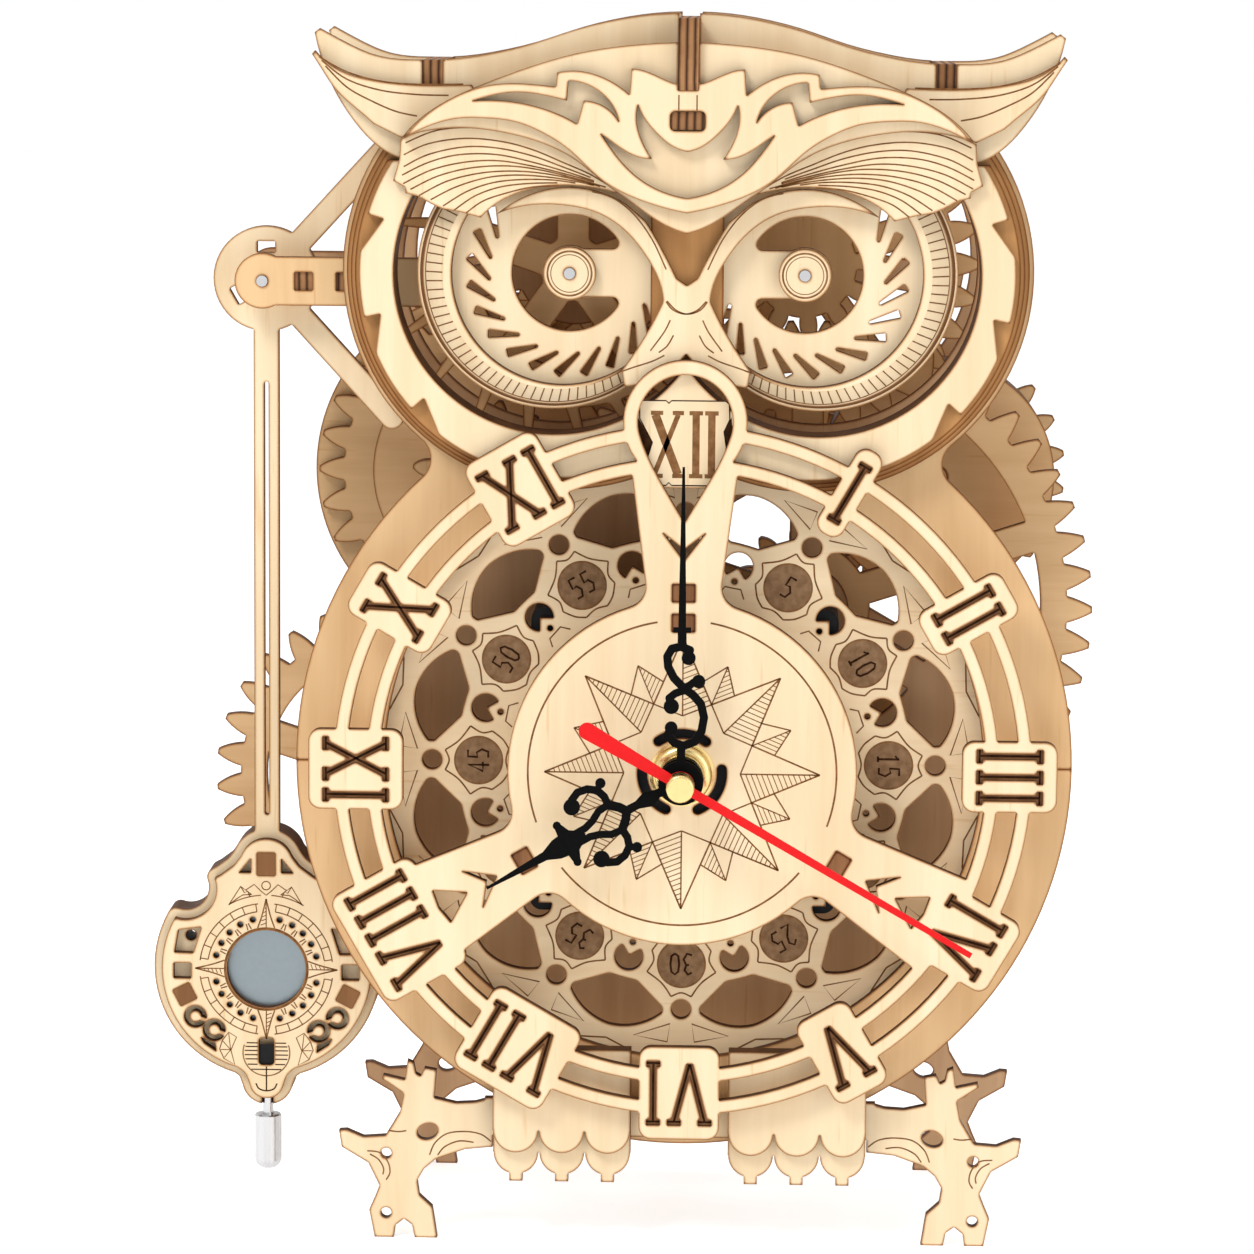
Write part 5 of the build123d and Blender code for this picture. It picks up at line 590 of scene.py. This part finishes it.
# Plaque of the twelfth numeral: its pale face lies just inside the keyhole
plaque, plaque_shade, twelve = Etching(), Etching(), Etching()
PLAQUE = 2 - 2 * PROUD
outline = [(-7.6, 67.1), (-3.5, 67.1), (-3.0, 66.6), (-2.5, 67.1), (7.2, 67.1), (7.8, 66.5),
           (7.9, 63.8), (6.9, 61.6), (7.3, 58.9), (7.3, 52.5), (6.7, 51.9), (-2.4, 51.9),
           (-2.9, 52.4), (-3.4, 51.9), (-6.4, 51.9), (-6.9, 52.5), (-6.9, 56.3), (-5.9, 59.6),
           (-8.2, 63.9), (-8.2, 66.5)]
plaque.fill(outline, PLAQUE)
# Painted shade: black fills in the side notches and a black line round the outline, for the shadowed gaps behind and
# around the plaque
plaque_shade.fill([(-8.6, 64.2), (-5.9, 59.6), (-6.9, 55.9), (-8.9, 56.5)], PLAQUE - 0.01)
plaque_shade.fill([(8.2, 64.2), (6.9, 61.6), (7.3, 58.6), (8.6, 58.8)], PLAQUE - 0.01)
plaque_shade.line(outline, 0.22, PLAQUE - 0.01, closed=True)
plaque.made("plaque_face", "frame", cream)
plaque_shade.made("plaque_notch_shade", "frame", black_engraving_and_shade)
TWELVE = PLAQUE - 0.02
for line, width in (([(-5.4, 64.6), (-1.3, 53.9)], 1.5), ([(-1.3, 64.6), (-5.5, 53.9)], 0.9),
                    ([(1.9, 64.6), (1.9, 53.9)], 1.3), ([(4.7, 64.6), (4.7, 53.9)], 1.3)):
    twelve.line(line, width, TWELVE)
for x, wide in ((-5.1, 2.2), (-1.3, 2.0), (1.9, 2.4), (4.7, 2.4)):
    twelve.line([(x - wide / 2, 64.9), (x + wide / 2, 64.9)], 0.75, TWELVE - 0.01)
    twelve.line([(x - wide / 2, 53.6), (x + wide / 2, 53.6)], 0.75, TWELVE - 0.01)
twelve.made("twelfth_numeral", "frame", brown)

# Brows, ears, nose, forehead
BROW = -PROUD
BROW_CURVES = [
    [(-50.1, 112.6), (-44.4, 114.9), (-37.3, 115.4), (-29.7, 114.5), (-23.7, 112.1), (-19.9, 110.0), (-16.6, 107.9)],
    [(-50.4, 110.5), (-46.0, 112.5), (-39.5, 113.5), (-33.0, 113.0), (-27.5, 111.6), (-22.1, 109.4), (-17.2, 107.3),
     (-12.8, 104.7)],
    [(-50.4, 108.4), (-46.0, 110.6), (-39.5, 112.0), (-33.5, 111.8), (-27.5, 110.5), (-22.1, 108.6), (-17.2, 106.8)],
    [(-50.7, 106.9), (-46.0, 109.2), (-40.6, 110.6), (-34.0, 110.7), (-27.5, 109.4), (-21.0, 107.6), (-16.6, 106.2)],
    [(-50.5, 105.4), (-45.4, 107.9), (-39.5, 109.3), (-33.5, 109.6), (-27.0, 108.6), (-21.0, 107.2), (-16.6, 106.0)],
    [(-49.2, 104.4), (-44.3, 106.8), (-38.4, 108.3), (-31.9, 108.7), (-25.9, 108.0), (-19.9, 106.6), (-14.5, 105.1)],
    [(-47.7, 103.3), (-42.7, 105.9), (-36.7, 107.4), (-30.8, 107.8), (-25.3, 107.4), (-19.9, 106.4), (-15.5, 105.2)],
    [(-45.6, 102.6), (-41.1, 104.9), (-35.6, 106.6), (-30.2, 107.1), (-24.8, 106.8), (-19.9, 106.1), (-16.6, 105.4)],
    [(-43.4, 101.5), (-39.2, 104.1), (-34.6, 105.7), (-29.7, 106.3), (-24.2, 106.3), (-19.9, 105.8)],
    [(-41.4, 100.8), (-37.8, 103.3), (-33.5, 104.9), (-28.6, 105.6), (-23.1, 105.8)],
    [(-39.3, 100.3), (-36.2, 102.5), (-31.8, 104.0), (-27.5, 105.0), (-22.6, 105.3)],
]
head = Etching()
brow_lines = [smooth(curve) for curve in BROW_CURVES]
head.lines(brow_lines + flipped(brow_lines), 0.26, BROW)
ear_lines = [smooth(curve) for curve in (
    [(-65.6, 127.6), (-60.7, 125.0), (-54.7, 123.4), (-48.2, 122.9), (-40.0, 123.0)],
    [(-65.2, 127.0), (-60.7, 123.7), (-54.7, 121.8), (-48.2, 121.1), (-42.6, 121.0)],
    [(-64.5, 126.0), (-60.7, 122.3), (-56.3, 119.9), (-52.0, 118.1), (-48.2, 117.3)])]
head.lines(ear_lines + flipped(ear_lines), 0.28, 2 - PROUD)
nose_lines = [smooth(curve) for curve in (
    [(-17.0, 104.2), (-13.4, 103.2), (-9.6, 100.3), (-6.3, 95.9), (-3.7, 90.5)],
    [(-3.7, 84.8), (-2.4, 83.3), (-0.2, 82.6), (1.9, 83.3), (3.5, 84.9)],
    [(-2.9, 81.5), (-4.0, 79.3), (-6.4, 76.0)],
    [(-2.3, 78.8), (-3.4, 76.9), (-4.9, 75.7)],
    [(-11.3, 72.3), (-9.4, 73.0), (-6.1, 74.1), (-3.9, 75.2)])]
head.lines(nose_lines + flipped(nose_lines), 0.26, 2 - PROUD)
slot_lines = [[(-1.6, 121.6), (-1.6, 118.9)], [(1.6, 121.6), (1.6, 118.9)]]
head.lines(slot_lines, 0.24, -4 - PROUD)
head.made("head_lines", "frame", burn)

# Eye bezels: score lines run down the sloping face, with a plain rim outside them
BEZEL_FRONT = (20.6, (23.1, EYE_Z))   # radius and centre of the slope's front edge
BEZEL_BACK = (23.9, (24.0, EYE_Z))
bezels = Etching()
for side in (-1, 1):
    def on_slope(angle, t, side=side):
        inner = polar(BEZEL_FRONT[0], angle, BEZEL_FRONT[1])
        outer = polar(BEZEL_BACK[0], angle, BEZEL_BACK[1])
        x, z = (inner[0] + (outer[0] - inner[0]) * t, inner[1] + (outer[1] - inner[1]) * t)
        return (side * x, z), 3 + 3 * t - 0.05
    for step in range(63):
        angle = -130 + 4.2 * step
        ends = [on_slope(angle, t) for t in (0.0, 0.35, 0.72)]
        bezels.line([e[0] for e in ends], 0.22, [e[1] for e in ends])
    rim = [on_slope(angle, 0.74) for angle in range(-135, 136, 3)]
    bezels.line([e[0] for e in rim], 0.24, [e[1] for e in rim])
bezels.made("bezel_scores", "frame", burn)
rings = Etching()
for side in (-1, 1):
    rings.line(arc((side * EYE_X, EYE_Z), 3.95, 0, 355, 71), 0.34, 4 - PROUD, closed=True)
    rings.line(arc((side * EYE_X, EYE_Z), 3.35, 0, 355, 71), 0.16, 4 - PROUD, closed=True)
rings.made("eye_bush_rings", "frame", brown)

# Pendulum bob: block ring, four points, hills, half disc, leaves
BOB = (-76.9, -40.5)
BOB_FACE = 17 - PROUD
bob, bob_dark = Etching(), Etching()


def about_bob(points):
    return [(BOB[0] + x, BOB[1] + z) for x, z in points]


bob.line(arc(BOB, 7.65, 0, 355, 71), 0.45, BOB_FACE, closed=True)
for quarter in range(4):
    base = 90 * quarter
    bob.line(arc(BOB, 12.35, base + 7, base + 83, 30), 0.22, BOB_FACE)
    bob.line(arc(BOB, 10.9, base + 9, base + 81, 30), 0.22, BOB_FACE)
    for step in range(7):
        angle = base + 9 + 12 * step
        bob.line([polar(10.9, angle, BOB), polar(12.35, angle, BOB)], 0.20, BOB_FACE)
    for dot in range(6):
        angle = base + 45 + 15 * (dot - 2.5)
        if 10 < angle - base < 80:
            bob.line([polar(8.0, angle - 2.4, BOB), polar(9.2, angle - 1.2, BOB)], 0.24, BOB_FACE)
            bob.line([polar(8.0, angle + 2.4, BOB), polar(9.2, angle + 1.2, BOB)], 0.24, BOB_FACE)
    tip = polar(13.2, base, BOB)
    for side in (-1, 1):
        flank = [polar(7.9, base + side * 11.5, BOB), polar(10.0, base + side * 4.6, BOB), tip]
        bob.line(smooth(flank), 0.26, BOB_FACE)
    bob.line([polar(7.9, base, BOB), tip], 0.20, BOB_FACE)
    for step in range(1, 6):
        r = 7.9 + 0.75 * step
        bob.line([polar(r, base, BOB), polar(r - 0.3, base + 8.5 - 1.5 * step, BOB)], 0.15, BOB_FACE)
hills = [
    [(-6.9, 12.0), (-4.7, 15.5), (-2.7, 14.0)], [(-6.9, 12.0), (-5.4, 13.2), (-4.3, 13.9), (-2.7, 14.0)],
    [(-4.7, 15.5), (-4.0, 14.3), (-3.4, 14.6), (-3.0, 13.6)],
    [(-3.8, 14.8), (-2.2, 15.9), (-1.0, 14.7), (0.0, 13.9), (1.0, 14.7), (2.2, 15.9), (3.8, 14.8)],
    [(2.7, 14.0), (4.7, 15.5), (6.7, 12.1)], [(2.7, 14.0), (4.3, 13.9), (5.4, 13.2), (6.7, 12.1)],
    [(3.0, 13.6), (3.4, 14.6), (4.0, 14.3), (4.7, 15.5)]]
bob.lines([about_bob(line) for line in hills], 0.20, BOB_FACE)
bob.line(arc((BOB[0], BOB[1] + 15.7), 0.8, 0, 340, 17), 0.20, BOB_FACE, closed=True)
bob.line(arc(BOB, 13.9, 60, 86, 12), 0.20, BOB_FACE)
bob.line(arc(BOB, 13.9, 94, 120, 12), 0.20, BOB_FACE)
for side in (-1, 1):
    outline = [(5.55, -12.9), (7.0, -12.0), (8.2, -13.6), (8.7, -15.2), (7.9, -17.0), (5.9, -18.1), (6.6, -15.4)]
    bob.line(about_bob([(side * x, z) for x, z in outline]), 0.20, BOB_FACE, closed=True)
    for end in ((7.0, -12.2), (8.1, -13.7), (8.5, -15.3), (7.8, -16.8)):
        bob.line(about_bob([(side * 6.65, -15.3), (side * end[0], end[1])]), 0.16, BOB_FACE)
middle = (BOB[0], BOB[1] - 15.8)
bob.line(arc(middle, 4.35, 160, 380, 40), 0.22, BOB_FACE)
for z in (-13.95, -14.65, -15.4, -16.2, -17.0, -18.0, -18.95):
    half = math.sqrt(max(0.5, 4.35 ** 2 - (z + 15.8) ** 2))
    gap = 1.62 if z > -18.3 else 0.0
    for side in (-1, 1):
        bob_dark.line(about_bob([(side * gap, z), (side * half * 0.93, z)]), 0.22, BOB_FACE)
bob_dark.line(about_bob([(0, -18.4), (0, -22.9)]), 0.26, BOB_FACE)
bob_dark.line(smooth(about_bob([(-1.95, -21.6), (-1.4, -22.6), (0, -23.0), (1.4, -22.6), (1.95, -21.6)])), 0.26,
              BOB_FACE - 0.01)
bob.made("bob_lines", "pendulum", burn)
bob_dark.made("bob_dark_lines", "pendulum", black_engraving_and_shade)

# Feet and talons
feet = Etching()
FOOT = 8 - PROUD
foot_lines = [smooth(curve) for curve in (
    [(34.6, -70.3), (36.4, -69.0), (39.1, -68.5), (42.6, -68.9), (44.9, -70.7), (45.9, -73.0)],
    [(37.8, -70.5), (40.5, -70.3), (43.1, -71.4), (44.4, -73.0)],
    [(50.2, -68.5), (51.7, -68.7), (53.5, -68.5)],
    [(57.4, -72.4), (55.1, -72.7), (53.6, -74.4), (53.2, -76.4), (53.9, -77.8)],
    [(56.9, -73.0), (55.3, -74.0), (54.4, -75.6), (54.5, -76.8)])]
feet.lines(foot_lines + flipped(foot_lines), 0.26, FOOT)
feet.made("foot_lines", "frame", burn)

# Spacer tabs seen in the square holes: charred end grain just below the face
tabs = Etching()
PENDULUM_X, PENDULUM_Z = -76.9, 87.1
ORNAMENT_TAB_Z = 117.055


def tab_end(x, z, wide, high, depth):
    tabs.fill([(x - wide / 2, z - high / 2), (x + wide / 2, z - high / 2),
               (x + wide / 2, z + high / 2), (x - wide / 2, z + high / 2)], depth)


for step in (1, 2):
    tab_end(PENDULUM_X + 7.5 * step, PENDULUM_Z, 3.3, 3.3, 12.5)
tab_end(0, ORNAMENT_TAB_Z, 5.9, 3.2, -3.5)
tabs.made("tab_ends", "frame", end_grain)

# Painted shade: a black ring just behind the dial's hub slots, for the shadowed gap seen through them. The bob's
# slot holds its black rating nut
slot_shade = Etching()
for slot in range(3):
    start = 90 + 120 * slot - 44
    slot_shade.line(arc((0, 0), 7.25, start, start + 88, 16), 2.7, 1.9)
slot_shade.made("hub_slot_shade", "frame", black_plastic_and_shade)
slot_black = Etching()
slot_black.fill(about_bob([(-1.4, -18.0), (1.4, -18.0), (1.4, -14.3), (-1.4, -14.3)]), 17.6)
slot_black.made("bob_slot_black", "pendulum", black_plastic_and_shade)


# Stage
def plain(name, color, glow):
    """A pale stage surface with a little light of its own, so that its open parts read as white."""
    mat, tree, bsdf = new_material(name)
    coords = node(tree, "ShaderNodeTexCoord")
    mottle = node(tree, "ShaderNodeTexNoise", Scale=3.0, Detail=2.0)
    tree.links.new(coords.outputs["Object"], mottle.inputs["Vector"])
    low = tuple(c * 0.985 for c in color)
    shade = ramp(tree, mottle.outputs["Fac"], [(0.3, low), (0.7, color)])
    tree.links.new(shade, bsdf.inputs["Base Color"])
    bsdf.inputs["Roughness"].default_value = 0.9
    bsdf.inputs["Specular IOR Level"].default_value = 0.1
    bsdf.inputs["Emission Color"].default_value = (1.0, 1.0, 1.0, 1.0)
    bsdf.inputs["Emission Strength"].default_value = glow
    return mat


def sheet_mesh(name, corners, mat):
    mesh = bpy.data.meshes.new(name)
    mesh.from_pydata(corners, [], [tuple(range(len(corners)))])
    made = bpy.data.objects.new(name, mesh)
    bpy.context.scene.collection.objects.link(made)
    made.data.materials.append(mat)


floor_mat = plain("pale_floor", (0.93, 0.93, 0.93), 0.70)
sheet_mesh("floor", [(-4, -4, 0), (4, -4, 0), (4, 4, 0), (-4, 4, 0)], floor_mat)

world = bpy.data.worlds.new("studio")
bpy.context.scene.world = world
world.use_nodes = True
tree = world.node_tree
tree.nodes.clear()
out = tree.nodes.new("ShaderNodeOutputWorld")
light = tree.nodes.new("ShaderNodeBackground")
light.inputs["Color"].default_value = (1.0, 0.99, 0.97, 1)
light.inputs["Strength"].default_value = 0.42
white = tree.nodes.new("ShaderNodeBackground")
white.inputs["Color"].default_value = (1, 1, 1, 1)
white.inputs["Strength"].default_value = 1.0
path = tree.nodes.new("ShaderNodeLightPath")
seen = maths(tree, "MAXIMUM", path.outputs["Is Camera Ray"], path.outputs["Is Glossy Ray"])
seen = maths(tree, "MAXIMUM", seen, path.outputs["Is Transmission Ray"])
blend = tree.nodes.new("ShaderNodeMixShader")
tree.links.new(seen, blend.inputs["Fac"])
tree.links.new(light.outputs[0], blend.inputs[1])
tree.links.new(white.outputs[0], blend.inputs[2])
tree.links.new(blend.outputs[0], out.inputs["Surface"])


def lamp(name, place, target, size, power):
    data = bpy.data.lights.new(name, "AREA")
    data.shape = "RECTANGLE"
    data.size, data.size_y = size
    data.energy = power
    made = bpy.data.objects.new(name, data)
    made.location = place
    direction = Vector(target) - Vector(place)
    made.rotation_euler = direction.to_track_quat("-Z", "Y").to_euler()
    bpy.context.scene.collection.objects.link(made)


aim = (0.0, 0.0, 0.11)
lamp("key", (-0.45, -0.75, 0.95), aim, (0.34, 0.34), 5.4)
lamp("fill", (0.7, -0.7, 0.35), aim, (0.6, 0.6), 1.7)
lamp("top", (0.0, 0.15, 0.9), aim, (0.7, 0.4), 2.0)

# Camera: its position is in millimetres from the dial centre, measured from the photograph
azimuth, elevation, roll = math.radians(1.75), math.radians(7.7), math.radians(0.46)
back = Vector((math.sin(azimuth) * math.cos(elevation), -math.cos(azimuth) * math.cos(elevation),
               math.sin(elevation)))
right = Vector((math.cos(azimuth), math.sin(azimuth), 0))
up = back.cross(right)
rolled_right = right * math.cos(roll) + up * math.sin(roll)
rolled_up = -right * math.sin(roll) + up * math.cos(roll)
camera_data = bpy.data.cameras.new("camera")
camera_data.lens = 141.6
camera_data.sensor_width = 36
camera_data.clip_start = 0.05
camera = bpy.data.objects.new("camera", camera_data)
turn = Matrix((rolled_right, rolled_up, back)).transposed()
camera.matrix_world = Matrix.Translation(spot(16.66, -876.37, 145.03)) @ turn.to_4x4()
bpy.context.scene.collection.objects.link(camera)
bpy.context.scene.camera = camera
bpy.context.scene.view_settings.view_transform = "Standard"
